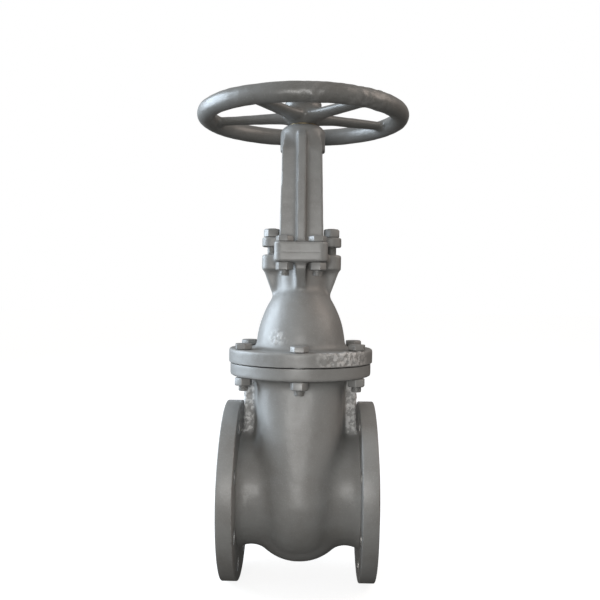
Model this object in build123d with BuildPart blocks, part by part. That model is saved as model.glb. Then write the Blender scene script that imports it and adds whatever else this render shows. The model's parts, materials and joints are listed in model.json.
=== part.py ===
from build123d import *
from math import radians, sqrt, tan
import os

# Flanged wedge gate valve, DN 100, with an outside screw, a yoke and a rising stem. Millimetres.
# The origin is the centre of the inlet flange face. +X runs along the pipe to the outlet and +Z runs up the
# stem, whose axis crosses the pipe axis half way between the two flange faces. The valve is modelled shut.

# Pipe run and end flanges
face_to_face = 190.0
bore_radius = 50.0
end_flange_radius = 110.0
end_flange_thickness = 22.0
raised_face_radius = 79.0
raised_face_height = 3.0
end_bolt_circle_radius = 90.0
end_bolt_hole_radius = 9.0
end_bolt_count = 8
machined_edge = 1.2
hub_radius = 66.7
hub_fillet = 5.0

# Chamber of the body, which holds the wedge
bulge_radius = 66.0
bulge_bottom = 88.0
chamber_half_width = 54.0
chamber_half_depth = 86.0
chamber_foot = 80.0
neck_half_depth = 66.5
chamber_shoulder = 20.0
chamber_fall = 120.0
chamber_corner_share = 0.95
chamber_corner_height = 30.0
neck_corner_share = 0.7
chamber_foot_section = -72.0
chamber_section_count = 7
body_wall = 8.0
pocket_radius = 66.0
pocket_half_width = 28.0
pocket_corner = 20.0
pocket_widening = 16.0
pocket_step = 2.0
neck_wall = 7.0
web_thickness = 12.0
web_reach = 70.5

# Bolted joint between body and bonnet
body_flange_radius = 87.5
body_flange_thickness = 15.0
joint_height = 160.4
gasket_thickness = 1.6
gasket_radius = 69.0
bonnet_flange_radius = 89.5
bonnet_flange_thickness = 16.7
bonnet_flange_edge = 2.0
bonnet_bolt_circle_radius = 78.5
bonnet_bolt_count = 6

# Bonnet: an oval dome, a round neck, a top flange for the yoke and two lugs for the gland studs
dome_half_width = 56.0
dome_half_depth = 62.0
dome_springing_rise = 8.8
dome_rise = 92.0
dome_wall = 8.0
dome_inside_rise = 66.0
dome_section_count = 5
bonnet_neck_radius = 28.5
dome_crown = 7.0
bonnet_neck_length = 40.6
top_flange_thickness = 11.4
top_flange_half_width = 32.2
top_flange_half_depth = 56.0
top_flange_corner = 9.0
gusset_thickness = 12.5
gusset_reach = 50.0
gusset_foot_rise = 7.0
lug_drop = 8.2
lug_thickness = 18.8
lug_rib_thickness = 12.0
lug_rib_foot_drop = 0.5
lug_rib_lean = 2.0

# Yoke: two feet, two ribbed legs front and back, and a boss for the stem nut
foot_thickness = 12.5
foot_inner_face = 20.0
leg_inner_face = 22.0
leg_thickness = 7.6
leg_half_width_bottom = 27.0
leg_half_width_top = 24.5
leg_head_half_width = 14.0
leg_rib_width = 10.5
leg_rib_reach_bottom = 41.0
leg_rib_reach_top = 37.0
yoke_boss_radius = 28.0
leg_length = 114.5
yoke_boss_height = 33.0
yoke_boss_roof = 9.0
yoke_shoulder_radius = 12.0
leg_rib_top_drop = 4.0
yoke_bolt_x = 19.7
yoke_bolt_y = 43.5

# M12 fasteners
bolt_radius = 6.0
bolt_hole_radius = 7.0
nut_across_flats = 19.0
nut_height = 10.7

# Stem, wedge and seat rings
stem_radius = 12.0
stem_end_length = 6.0
stem_chamfer = 2.0
stem_collar_radius = 16.0
stem_collar_height = 9.0
stem_head_bottom = 62.0
stem_head_height = 10.0
stem_head_half_width = 12.0
stem_head_half_depth = 16.5
lift = 106.0
wedge_angle = 5.0
wedge_cutter_reach = 64.0
wedge_half_thickness = 17.0
wedge_radius = 58.0
wedge_rim = 9.0
wedge_face_relief = 2.5
wedge_boss_corner = 4.0
wedge_boss_half_width = 17.0
wedge_boss_half_depth = 24.0
wedge_boss_foot = 40.0
wedge_boss_top = 84.0
seat_radius = 57.0
seat_back = 34.0
guide_half_width = 5.0
guide_slot_depth = 8.0
guide_foot = -15.0
guide_clearance = 1.0

# Stuffing box, gland and its studs
bushing_radius = 17.0
bushing_length = 14.0
packing_radius = 18.6
stuffing_box_depth = 33.0
follower_entry = 9.0
neck_ring_clearance = 1.0
gland_gap = 8.7
gland_thickness = 11.9
gland_half_width = 16.5
gland_ear_radius = 12.4
gland_stud_x = 37.2
gland_stud_projection = 0.6
gland_stud_chamfer = 0.5

# Stem nut and handwheel
stem_nut_radius = 16.5
stem_nut_collar_radius = 21.0
stem_nut_collar_height = 9.0
wheel_plane_rise = 10.0
wheel_radius = 120.4
wheel_rim_radius = 11.3
wheel_hub_foot_radius = 19.0
wheel_hub_radius = 24.0
wheel_hub_height = 29.0
wheel_hub_chamfer = 2.0
spoke_count = 5
spoke_first_angle = 24.0
spoke_half_width = 11.0
spoke_half_height = 6.2
spoke_waist_radius = 46.0
spoke_root = 1.35
spoke_taper = 0.82
lock_nut_radius = 22.0
lock_nut_height = 9.0

# Clearances
running_fit = 0.1
seat_face_gap = 0.1
seated_gap = 0.3
hub_gap = 1.0

# Places that follow from the sizes above
stem_x = face_to_face / 2
stem_axis = Axis((stem_x, 0, 0), (0, 0, 1))
body_flange_top = joint_height - gasket_thickness / 2
body_flange_bottom = body_flange_top - body_flange_thickness
bonnet_flange_bottom = joint_height + gasket_thickness / 2
dome_springing = bonnet_flange_bottom + dome_springing_rise
dome_ceiling = dome_springing + dome_inside_rise
bonnet_neck_foot = dome_ceiling + dome_crown
gusset_foot = bonnet_neck_foot + gusset_foot_rise
lug_rib_foot = bonnet_neck_foot - lug_rib_foot_drop
top_flange_height = bonnet_neck_foot + bonnet_neck_length
top_flange_top = top_flange_height + top_flange_thickness
lug_bottom = top_flange_height - lug_drop
packing_bottom = top_flange_top - stuffing_box_depth
packing_top = top_flange_top - follower_entry
gland_underside = top_flange_top + gland_gap
gland_nut_bottom = gland_underside + gland_thickness
foot_top = top_flange_top + foot_thickness
yoke_boss_bottom = foot_top + leg_length
yoke_boss_top = yoke_boss_bottom + yoke_boss_height
collar_recess_top = yoke_boss_top - yoke_boss_roof
wheel_hub_bottom = yoke_boss_top + hub_gap
wheel_hub_top = wheel_hub_bottom + wheel_hub_height
wheel_height = wheel_hub_bottom + wheel_plane_rise
stem_nut_collar_top = collar_recess_top - seated_gap
stem_nut_top = wheel_hub_top + lock_nut_height - seated_gap
stem_top = wheel_hub_top + lock_nut_height + stem_end_length
stem_collar_top = dome_ceiling - lift - seated_gap
leg_top = collar_recess_top - stem_nut_collar_height
guide_face = wedge_radius - guide_slot_depth + guide_clearance
neck_inside_depth = neck_half_depth - neck_wall
neck_inside_width = chamber_half_width - body_wall


def level(height):
    """Horizontal sketch plane on the stem axis."""
    return Plane(origin=(stem_x, 0, height))


def elevation(depth=0.0):
    """Upright sketch plane along the pipe, seen from the front: local x is +X and local y is +Z."""
    return Plane(origin=(stem_x, depth, 0), x_dir=(1, 0, 0), z_dir=(0, -1, 0))


def cross_section(x):
    """Upright sketch plane across the pipe: local x is +Y and local y is +Z."""
    return Plane(origin=(x, 0, 0), x_dir=(0, 1, 0), z_dir=(1, 0, 0))


def chamber_plan(height):
    """Draw the chamber's plan at a height: it tapers from the pipe to the neck and closes in below."""
    if height > 0:
        depth = chamber_half_depth + (neck_half_depth - chamber_half_depth) * height / body_flange_bottom
    else:
        depth = chamber_half_depth * sqrt(1 - (height / chamber_foot) ** 2)
    fall = max(0.0, chamber_shoulder - height) / chamber_fall
    width = chamber_half_width * sqrt(1 - fall**2)
    rise = max(0.0, height - chamber_corner_height) / (body_flange_bottom - chamber_corner_height)
    share = chamber_corner_share + (neck_corner_share - chamber_corner_share) * rise
    RectangleRounded(2 * width, 2 * depth, share * width)


def dome_plan(height, wall):
    """Draw the plan of the bonnet's dome at a height, an oval cut of a half ellipsoid."""
    share = sqrt(1 - ((height - dome_springing) / (dome_rise - wall)) ** 2)
    Ellipse((dome_half_width - wall) * share, (dome_half_depth - wall) * share)


def steps(low, high, count):
    """Evenly spaced heights from low to high."""
    return [low + (high - low) * index / (count - 1) for index in range(count)]


def wedge_space(gap, height):
    """Tapered space between the two seat planes, opened by a gap on each side."""
    half_width = wedge_half_thickness + gap
    lean = height * tan(radians(wedge_angle))
    with BuildPart() as space:
        with BuildSketch(elevation()):
            with BuildLine():
                Polyline(
                    (-half_width + lean, -height),
                    (half_width - lean, -height),
                    (half_width + lean, height),
                    (-half_width - lean, height),
                    close=True,
                )
            make_face()
        extrude(amount=height, both=True)
    return space.part


os.makedirs("parts", exist_ok=True)

# Hollow of the body: a flat pocket for the wedge, round below and open above, which widens into the neck
with BuildPart() as chamber_core:
    with BuildSketch(cross_section(stem_x)):
        with BuildLine():
            ThreePointArc((pocket_radius, 0), (0, -pocket_radius), (-pocket_radius, 0))
            Polyline(
                (-pocket_radius, 0),
                (-neck_inside_depth, joint_height),
                (neck_inside_depth, joint_height),
                (pocket_radius, 0),
            )
        make_face()
    extrude(amount=pocket_half_width, both=True)
    for direction in (-1, 1):
        with BuildSketch(level(guide_foot)):
            with Locations((0, direction * (guide_face + guide_slot_depth))):
                Rectangle(2 * (guide_half_width - guide_clearance), 2 * guide_slot_depth)
        extrude(amount=body_flange_top - guide_foot, mode=Mode.SUBTRACT)
    for height, half_width in (
        (pocket_radius, pocket_half_width - pocket_step),
        (pocket_radius + pocket_widening, neck_inside_width),
        (joint_height, neck_inside_width),
    ):
        with BuildSketch(level(height)):
            RectangleRounded(2 * half_width, 2 * (guide_face - pocket_step), pocket_corner)
    loft(ruled=True)

# Body: pipe run with end flanges, chamber, neck, bonnet flange, webs and wedge guides in one casting
with BuildPart() as body:
    with BuildSketch(Plane.XZ) as run_profile:
        with BuildLine():
            Polyline(
                (0, 0),
                (0, raised_face_radius),
                (raised_face_height, raised_face_radius),
                (raised_face_height, end_flange_radius),
                (end_flange_thickness, end_flange_radius),
                (end_flange_thickness, hub_radius),
                (stem_x, hub_radius),
                (stem_x, 0),
                close=True,
            )
        make_face()
        rim = run_profile.vertices().group_by(Axis.Y)[-1]
        fillet(rim, machined_edge)
        root = run_profile.vertices().sort_by_distance((end_flange_thickness, hub_radius))[0]
        fillet(root, hub_fillet)
    revolve(axis=Axis.X)
    mirror(about=cross_section(stem_x))
    for height in steps(chamber_foot_section, body_flange_bottom, chamber_section_count):
        with BuildSketch(level(height)):
            chamber_plan(height)
    loft()
    with Locations((stem_x, 0, bulge_radius - bulge_bottom)):
        Sphere(bulge_radius)
    with BuildSketch(elevation()):
        with BuildLine():
            Polyline(
                (0, body_flange_bottom),
                (web_reach, body_flange_bottom),
                (web_reach, bore_radius + body_wall),
                (0, bore_radius + body_wall),
                close=True,
            )
        make_face()
        mirror(about=Plane.YZ)
    extrude(amount=web_thickness / 2, both=True)
    with BuildSketch(level(body_flange_bottom)):
        Circle(body_flange_radius)
    extrude(amount=body_flange_thickness)
    add(chamber_core.part, mode=Mode.SUBTRACT)
    with BuildSketch(Plane.YZ):
        Circle(bore_radius)
    extrude(amount=face_to_face, mode=Mode.SUBTRACT)
    with BuildSketch(cross_section(stem_x)):
        Circle(seat_radius + running_fit)
    extrude(amount=seat_back, both=True, mode=Mode.SUBTRACT)
    with BuildSketch(level(body_flange_bottom)):
        with PolarLocations(bonnet_bolt_circle_radius, bonnet_bolt_count, start_angle=90):
            Circle(bolt_hole_radius)
    extrude(amount=body_flange_thickness, mode=Mode.SUBTRACT)
    for face_x in (0, face_to_face - end_flange_thickness):
        with BuildSketch(cross_section(face_x)):
            with PolarLocations(end_bolt_circle_radius, end_bolt_count, start_angle=180 / end_bolt_count):
                Circle(end_bolt_hole_radius)
        extrude(amount=end_flange_thickness, mode=Mode.SUBTRACT)
body.part.label = "body"
export_step(body.part, "parts/body.step")

# Seat rings: short bushes in the body whose inner ends lie on the two inclined seat planes
for name, side in (("seat_ring_inlet", -1), ("seat_ring_outlet", 1)):
    with BuildPart() as seat_ring:
        with BuildSketch(cross_section(stem_x)):
            Circle(seat_radius)
            Circle(bore_radius, mode=Mode.SUBTRACT)
        extrude(amount=side * seat_back)
        add(wedge_space(seat_face_gap, wedge_cutter_reach), mode=Mode.SUBTRACT)
    seat_ring.part.label = name
    export_step(seat_ring.part, f"parts/{name}.step")

# Dished middles of the two wedge faces, left standing proud as seat rims
with BuildPart() as wedge_dishes:
    with BuildSketch(cross_section(stem_x)):
        Circle(wedge_radius - wedge_rim)
    extrude(amount=seat_back, both=True)
    add(wedge_space(-wedge_face_relief, wedge_cutter_reach), mode=Mode.SUBTRACT)

# Wedge: a tapered disc with guide slots in its rim and a boss on top, slotted for the head of the stem
with BuildPart() as wedge:
    with BuildSketch(cross_section(stem_x)):
        Circle(wedge_radius)
    extrude(amount=seat_back, both=True)
    add(wedge_space(0, wedge_cutter_reach), mode=Mode.INTERSECT)
    add(wedge_dishes.part, mode=Mode.SUBTRACT)
    with BuildSketch(level(wedge_boss_foot)):
        Rectangle(2 * wedge_boss_half_width, 2 * wedge_boss_half_depth)
    extrude(amount=wedge_boss_top - wedge_boss_foot)
    fillet(wedge.edges().filter_by(Axis.Z).group_by(SortBy.LENGTH)[-1], wedge_boss_corner)
    for direction in (-1, 1):
        with BuildSketch(level(-wedge_radius)):
            with Locations((0, direction * wedge_radius)):
                Rectangle(2 * guide_half_width, 2 * guide_slot_depth)
        extrude(amount=2 * wedge_radius, mode=Mode.SUBTRACT)
    with BuildSketch(cross_section(stem_x)):
        with Locations((0, stem_head_bottom + stem_head_height / 2)):
            Rectangle(2 * (stem_head_half_depth + seated_gap), stem_head_height + 2 * seated_gap)
        with Locations((0, (stem_head_bottom + wedge_boss_top) / 2)):
            Rectangle(2 * (stem_radius + seated_gap), wedge_boss_top - stem_head_bottom)
    extrude(amount=wedge_boss_half_width, both=True, mode=Mode.SUBTRACT)
wedge.part.label = "wedge"
export_step(wedge.part, "parts/wedge.step")

# Gasket between the body flange and the bonnet flange, inside the bolts
with BuildPart() as bonnet_gasket:
    with BuildSketch(level(body_flange_top)):
        Circle(gasket_radius)
        RectangleRounded(2 * neck_inside_width, 2 * neck_inside_depth, pocket_corner, mode=Mode.SUBTRACT)
    extrude(amount=gasket_thickness)
bonnet_gasket.part.label = "bonnet_gasket"
export_step(bonnet_gasket.part, "parts/bonnet_gasket.step")

# Bonnet: flange, oval dome, neck with the stuffing box, top flange, stud lugs and four gussets in one casting
with BuildPart() as bonnet:
    with BuildSketch(level(bonnet_flange_bottom)):
        Circle(bonnet_flange_radius)
    extrude(amount=bonnet_flange_thickness)
    fillet(bonnet.edges().sort_by(Axis.Z)[-1], bonnet_flange_edge)
    for height in steps(bonnet_flange_bottom + dome_wall, gusset_foot, dome_section_count):
        with BuildSketch(level(height)):
            dome_plan(height, 0)
    loft()
    with BuildSketch(level(bonnet_neck_foot)):
        Circle(bonnet_neck_radius)
    extrude(amount=top_flange_height - bonnet_neck_foot)
    with BuildSketch(level(lug_bottom)):
        SlotCenterToCenter(2 * gland_stud_x, 2 * gland_ear_radius)
    extrude(amount=lug_thickness)
    with BuildSketch(level(top_flange_height)):
        RectangleRounded(2 * top_flange_half_width, 2 * top_flange_half_depth, top_flange_corner)
    extrude(amount=top_flange_thickness)
    with BuildSketch(elevation()):
        with BuildLine():
            Polyline(
                (0, lug_rib_foot),
                (gland_stud_x - lug_rib_lean, lug_rib_foot),
                (gland_stud_x + gland_ear_radius - lug_rib_lean, lug_bottom),
                (0, lug_bottom),
                close=True,
            )
        make_face()
        mirror(about=Plane.YZ)
    extrude(amount=lug_rib_thickness / 2, both=True)
    with BuildSketch(cross_section(stem_x)):
        with BuildLine():
            Polyline(
                (0, gusset_foot),
                (bonnet_neck_radius + lug_rib_lean, gusset_foot),
                (gusset_reach, lug_bottom),
                (gusset_reach, top_flange_height),
                (0, top_flange_height),
                close=True,
            )
        make_face()
        mirror(about=Plane.YZ)
    extrude(amount=gusset_thickness / 2, both=True)
    for height in steps(bonnet_flange_bottom, dome_ceiling, dome_section_count):
        with BuildSketch(level(height)):
            dome_plan(height, dome_wall)
    loft(mode=Mode.SUBTRACT)
    with BuildSketch(level(dome_ceiling - dome_wall)):
        Circle(bushing_radius + running_fit)
    extrude(amount=bushing_length + dome_wall, mode=Mode.SUBTRACT)
    with BuildSketch(level(dome_ceiling)):
        Circle(stem_radius + neck_ring_clearance)
    extrude(amount=top_flange_top - dome_ceiling, mode=Mode.SUBTRACT)
    with BuildSketch(level(packing_bottom)):
        Circle(packing_radius + running_fit)
    extrude(amount=top_flange_top - packing_bottom, mode=Mode.SUBTRACT)
    with BuildSketch(level(bonnet_flange_bottom)):
        with PolarLocations(bonnet_bolt_circle_radius, bonnet_bolt_count, start_angle=90):
            Circle(bolt_hole_radius)
    extrude(amount=bonnet_flange_thickness, mode=Mode.SUBTRACT)
    with BuildSketch(level(top_flange_height)):
        with GridLocations(2 * yoke_bolt_x, 2 * yoke_bolt_y, 2, 2):
            Circle(bolt_hole_radius)
    extrude(amount=top_flange_thickness, mode=Mode.SUBTRACT)
    with BuildSketch(level(lug_bottom)):
        with GridLocations(2 * gland_stud_x, 0, 2, 1):
            Circle(bolt_radius + running_fit)
    extrude(amount=top_flange_top - lug_bottom, mode=Mode.SUBTRACT)
bonnet.part.label = "bonnet"
export_step(bonnet.part, "parts/bonnet.step")

# Backseat bushing, pressed into the dome's ceiling
with BuildPart() as backseat_bushing:
    with BuildSketch(level(dome_ceiling)):
        Circle(bushing_radius)
        Circle(stem_radius + running_fit, mode=Mode.SUBTRACT)
    extrude(amount=bushing_length)
backseat_bushing.part.label = "backseat_bushing"
export_step(backseat_bushing.part, "parts/backseat_bushing.step")

# Packing rings round the stem, as one pressed stack
with BuildPart() as stem_packing:
    with BuildSketch(level(packing_bottom)):
        Circle(packing_radius)
        Circle(stem_radius + running_fit, mode=Mode.SUBTRACT)
    extrude(amount=packing_top - packing_bottom)
stem_packing.part.label = "stem_packing"
export_step(stem_packing.part, "parts/stem_packing.step")

# Gland follower: the sleeve that presses on the packing
with BuildPart() as gland_follower:
    with BuildSketch(level(packing_top)):
        Circle(packing_radius)
        Circle(stem_radius + running_fit, mode=Mode.SUBTRACT)
    extrude(amount=gland_underside - packing_top)
gland_follower.part.label = "gland_follower"
export_step(gland_follower.part, "parts/gland_follower.step")

# Gland flange: an oval plate with two eared ends, drawn down by the studs
with BuildPart() as gland_flange:
    with BuildSketch(level(gland_underside)) as gland_outline:
        Circle(gland_half_width)
        SlotCenterToCenter(2 * gland_stud_x, 2 * gland_ear_radius)
        Circle(stem_radius + neck_ring_clearance, mode=Mode.SUBTRACT)
        with GridLocations(2 * gland_stud_x, 0, 2, 1):
            Circle(bolt_hole_radius, mode=Mode.SUBTRACT)
    extrude(amount=gland_thickness)
gland_flange.part.label = "gland_flange"
export_step(gland_flange.part, "parts/gland_flange.step")

# Gland studs, screwed into the lugs of the bonnet, and their nuts
for name, side in (("left", -1), ("right", 1)):
    with BuildPart() as gland_stud:
        with BuildSketch(Plane(origin=(stem_x + side * gland_stud_x, 0, lug_bottom))):
            Circle(bolt_radius)
        extrude(amount=gland_nut_bottom + nut_height + gland_stud_projection - lug_bottom)
        chamfer(gland_stud.edges().sort_by(Axis.Z)[-1], gland_stud_chamfer)
    gland_stud.part.label = f"gland_stud_{name}"
    export_step(gland_stud.part, f"parts/gland_stud_{name}.step")
    with BuildPart() as gland_nut:
        with BuildSketch(Plane(origin=(stem_x + side * gland_stud_x, 0, gland_nut_bottom))):
            RegularPolygon(nut_across_flats / 2, 6, major_radius=False)
            Circle(bolt_radius + running_fit, mode=Mode.SUBTRACT)
        extrude(amount=nut_height)
    gland_nut.part.label = f"gland_nut_{name}"
    export_step(gland_nut.part, f"parts/gland_nut_{name}.step")

# Yoke: two feet and two T-section legs, front and back, under a round boss for the stem nut
with BuildPart() as yoke:
    with BuildSketch(level(yoke_boss_bottom)):
        Circle(yoke_boss_radius)
    extrude(amount=yoke_boss_height)
    fillet(yoke.edges().sort_by(Axis.Z)[-1], yoke_shoulder_radius)
    for direction in (-1, 1):
        with BuildSketch(level(top_flange_top)) as foot:
            with Locations((0, direction * (foot_inner_face + top_flange_half_depth) / 2)):
                Rectangle(2 * top_flange_half_width, top_flange_half_depth - foot_inner_face)
            fillet(foot.vertices().sort_by(Axis.Y)[:: direction][-2:], top_flange_corner)
        extrude(amount=foot_thickness)
        with BuildSketch(elevation(direction * (leg_inner_face + leg_thickness / 2))):
            with BuildLine():
                Polyline(
                    (-leg_half_width_bottom, foot_top),
                    (leg_half_width_bottom, foot_top),
                    (leg_half_width_top, yoke_boss_bottom),
                    (leg_head_half_width, leg_top),
                    (-leg_head_half_width, leg_top),
                    (-leg_half_width_top, yoke_boss_bottom),
                    close=True,
                )
            make_face()
        extrude(amount=leg_thickness / 2, both=True)
        with BuildSketch(cross_section(stem_x)):
            with BuildLine():
                Polyline(
                    (direction * leg_inner_face, foot_top),
                    (direction * leg_rib_reach_bottom, foot_top),
                    (direction * leg_rib_reach_top, yoke_boss_bottom),
                    (direction * leg_rib_reach_top, leg_top),
                    (direction * leg_inner_face, yoke_boss_top - leg_rib_top_drop),
                    close=True,
                )
            make_face()
        extrude(amount=leg_rib_width / 2, both=True)
    with BuildSketch(level(yoke_boss_bottom)):
        Circle(stem_nut_collar_radius + seated_gap)
    extrude(amount=collar_recess_top - yoke_boss_bottom, mode=Mode.SUBTRACT)
    with BuildSketch(level(collar_recess_top)):
        Circle(stem_nut_radius + running_fit)
    extrude(amount=yoke_boss_roof, mode=Mode.SUBTRACT)
    with BuildSketch(level(top_flange_top)):
        with GridLocations(2 * yoke_bolt_x, 2 * yoke_bolt_y, 2, 2):
            Circle(bolt_hole_radius)
    extrude(amount=foot_thickness, mode=Mode.SUBTRACT)
yoke.part.label = "yoke"
export_step(yoke.part, "parts/yoke.step")

# Stem: screwed rod with a head for the wedge and a collar that meets the backseat when the valve is open
with BuildPart() as stem:
    with BuildSketch(level(stem_head_bottom)):
        Rectangle(2 * stem_head_half_width, 2 * stem_head_half_depth)
    extrude(amount=stem_head_height)
    with BuildSketch(level(stem_head_bottom)):
        Circle(stem_radius)
    extrude(amount=stem_top - stem_head_bottom)
    chamfer(stem.edges().sort_by(Axis.Z)[-1], stem_chamfer)
    with BuildSketch(level(stem_collar_top - stem_collar_height)):
        Circle(stem_collar_radius)
    extrude(amount=stem_collar_height)
stem.part.label = "stem"
export_step(stem.part, "parts/stem.step")

# Stem nut: a flanged sleeve that turns in the yoke and lifts the stem
with BuildPart() as stem_nut:
    with BuildSketch(level(stem_nut_collar_top - stem_nut_collar_height)):
        Circle(stem_nut_collar_radius)
    extrude(amount=stem_nut_collar_height)
    with BuildSketch(level(stem_nut_collar_top - stem_nut_collar_height)):
        Circle(stem_nut_radius)
    extrude(amount=stem_nut_top - stem_nut_collar_top + stem_nut_collar_height)
    with BuildSketch(level(stem_nut_collar_top - stem_nut_collar_height)):
        Circle(stem_radius + running_fit)
    extrude(amount=stem_nut_top - stem_nut_collar_top + stem_nut_collar_height, mode=Mode.SUBTRACT)
stem_nut.part.label = "stem_nut"
export_step(stem_nut.part, "parts/stem_nut.step")

# Retaining ring under the stem nut, screwed into the boss of the yoke
with BuildPart() as stem_nut_retainer:
    with BuildSketch(level(yoke_boss_bottom)):
        Circle(stem_nut_collar_radius + seated_gap - running_fit)
        Circle(stem_radius + neck_ring_clearance, mode=Mode.SUBTRACT)
    extrude(amount=stem_nut_collar_top - stem_nut_collar_height - seated_gap - yoke_boss_bottom)
stem_nut_retainer.part.label = "stem_nut_retainer"
export_step(stem_nut_retainer.part, "parts/stem_nut_retainer.step")

# Handwheel: round rim, flat oval spokes with stout roots and a hub that widens upward
with BuildPart() as handwheel:
    with BuildSketch(elevation()):
        with Locations((wheel_radius, wheel_height)):
            Circle(wheel_rim_radius)
        with BuildLine():
            Polyline(
                (0, wheel_hub_bottom),
                (wheel_hub_foot_radius, wheel_hub_bottom),
                (wheel_hub_radius, wheel_hub_top - wheel_hub_chamfer),
                (wheel_hub_radius - wheel_hub_chamfer, wheel_hub_top),
                (0, wheel_hub_top),
                close=True,
            )
        make_face()
    revolve(axis=stem_axis)
    for index in range(spoke_count):
        bearing = spoke_first_angle + index * 360 / spoke_count
        outward = Vector(1, 0, 0).rotate(Axis.Z, bearing)
        across = Vector(0, 1, 0).rotate(Axis.Z, bearing)
        for radius, size in (
            (stem_nut_radius, spoke_root),
            (spoke_waist_radius, 1),
            (wheel_radius, spoke_taper),
        ):
            place = Vector(stem_x, 0, wheel_height) + outward * radius
            with BuildSketch(Plane(origin=place, x_dir=across, z_dir=outward)):
                Ellipse(spoke_half_width * size, spoke_half_height * size)
        loft()
    with BuildSketch(level(wheel_hub_bottom)):
        Circle(stem_nut_radius + running_fit)
    extrude(amount=wheel_hub_height, mode=Mode.SUBTRACT)
handwheel.part.label = "handwheel"
export_step(handwheel.part, "parts/handwheel.step")

# Lock nut that holds the handwheel on the stem nut
with BuildPart() as wheel_lock_nut:
    with BuildSketch(level(wheel_hub_top)):
        RegularPolygon(lock_nut_radius, 6, major_radius=False)
        Circle(stem_nut_radius + running_fit, mode=Mode.SUBTRACT)
    extrude(amount=lock_nut_height)
wheel_lock_nut.part.label = "wheel_lock_nut"
export_step(wheel_lock_nut.part, "parts/wheel_lock_nut.step")
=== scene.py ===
"""The looks of a flanged wedge gate valve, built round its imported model.

The frame is in metres: the origin is the centre of the inlet flange face, +X runs along the pipe and +Z up
the stem. Shapes are drawn in millimetres on axes that cross where the stem axis meets the pipe axis, and are
moved into the frame when they become meshes. Castings are fused from turned and drawn shapes, their corners
are filled as on a foundry pattern, and then they are bored and drilled.
"""

from __future__ import annotations

import json
import logging
import math
from dataclasses import dataclass, field
from enum import Enum
from typing import Sequence

import bmesh
import bpy
import numpy as np
from mathutils import Matrix, Vector, kdtree, noise

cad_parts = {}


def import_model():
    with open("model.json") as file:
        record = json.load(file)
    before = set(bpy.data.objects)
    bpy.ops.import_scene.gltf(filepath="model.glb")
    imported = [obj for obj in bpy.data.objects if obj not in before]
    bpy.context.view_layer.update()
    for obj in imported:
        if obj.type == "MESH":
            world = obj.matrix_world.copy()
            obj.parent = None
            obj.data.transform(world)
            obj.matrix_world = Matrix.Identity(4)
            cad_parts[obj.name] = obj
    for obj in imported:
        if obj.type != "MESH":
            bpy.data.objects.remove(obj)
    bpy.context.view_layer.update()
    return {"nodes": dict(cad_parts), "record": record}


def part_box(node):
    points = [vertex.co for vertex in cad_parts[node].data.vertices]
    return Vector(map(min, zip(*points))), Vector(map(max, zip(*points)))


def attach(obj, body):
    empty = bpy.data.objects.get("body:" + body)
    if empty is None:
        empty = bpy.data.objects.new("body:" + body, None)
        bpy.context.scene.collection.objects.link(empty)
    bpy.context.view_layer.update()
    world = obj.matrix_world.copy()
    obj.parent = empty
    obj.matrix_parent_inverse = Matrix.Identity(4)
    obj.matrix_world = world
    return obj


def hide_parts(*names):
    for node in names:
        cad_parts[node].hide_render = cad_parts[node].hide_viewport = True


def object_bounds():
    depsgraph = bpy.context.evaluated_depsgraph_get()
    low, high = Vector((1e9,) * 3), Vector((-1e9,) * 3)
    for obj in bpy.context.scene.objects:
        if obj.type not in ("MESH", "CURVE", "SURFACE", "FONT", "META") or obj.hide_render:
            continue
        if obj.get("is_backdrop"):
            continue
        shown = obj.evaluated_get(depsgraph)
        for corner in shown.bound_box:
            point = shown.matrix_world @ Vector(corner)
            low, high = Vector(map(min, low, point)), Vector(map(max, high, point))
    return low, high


Point = tuple[float, float]
Spot = tuple[float, float, float]
Colour = tuple[float, float, float]
MM = 0.001
CORNER_SIGNS = ((-1, -1), (1, -1), (1, 1), (-1, 1))
AXIS = (0.0, 0.0)

# Extra metal on a joint face, which is planed off once the casting is softened
FACING = 2.0

# Bearings of a corner of each bolt's head and of its nut, in degrees
BONNET_BOLT_TURNS = ((9, 26), (26, 55), (43, 23), (0, 52), (17, 21), (34, 50))
YOKE_BOLT_TURNS = ((51, 51), (8, 49), (30, 12), (43, 24))

# Edges sharper than this stay crisp, in degrees
CASTING_CREASE = 32.0
FASTENER_CREASE = 38.0
log = logging.getLogger("gate_valve")


class Body(Enum):
    """The bodies of the frame that a piece can ride on."""

    VALVE = "valve"
    WHEEL = "wheel"
    STEM = "stem"


class Cut(Enum):
    """Ways of changing one solid with another."""

    AWAY = "DIFFERENCE"
    ONTO = "UNION"


# Shader maths


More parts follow.
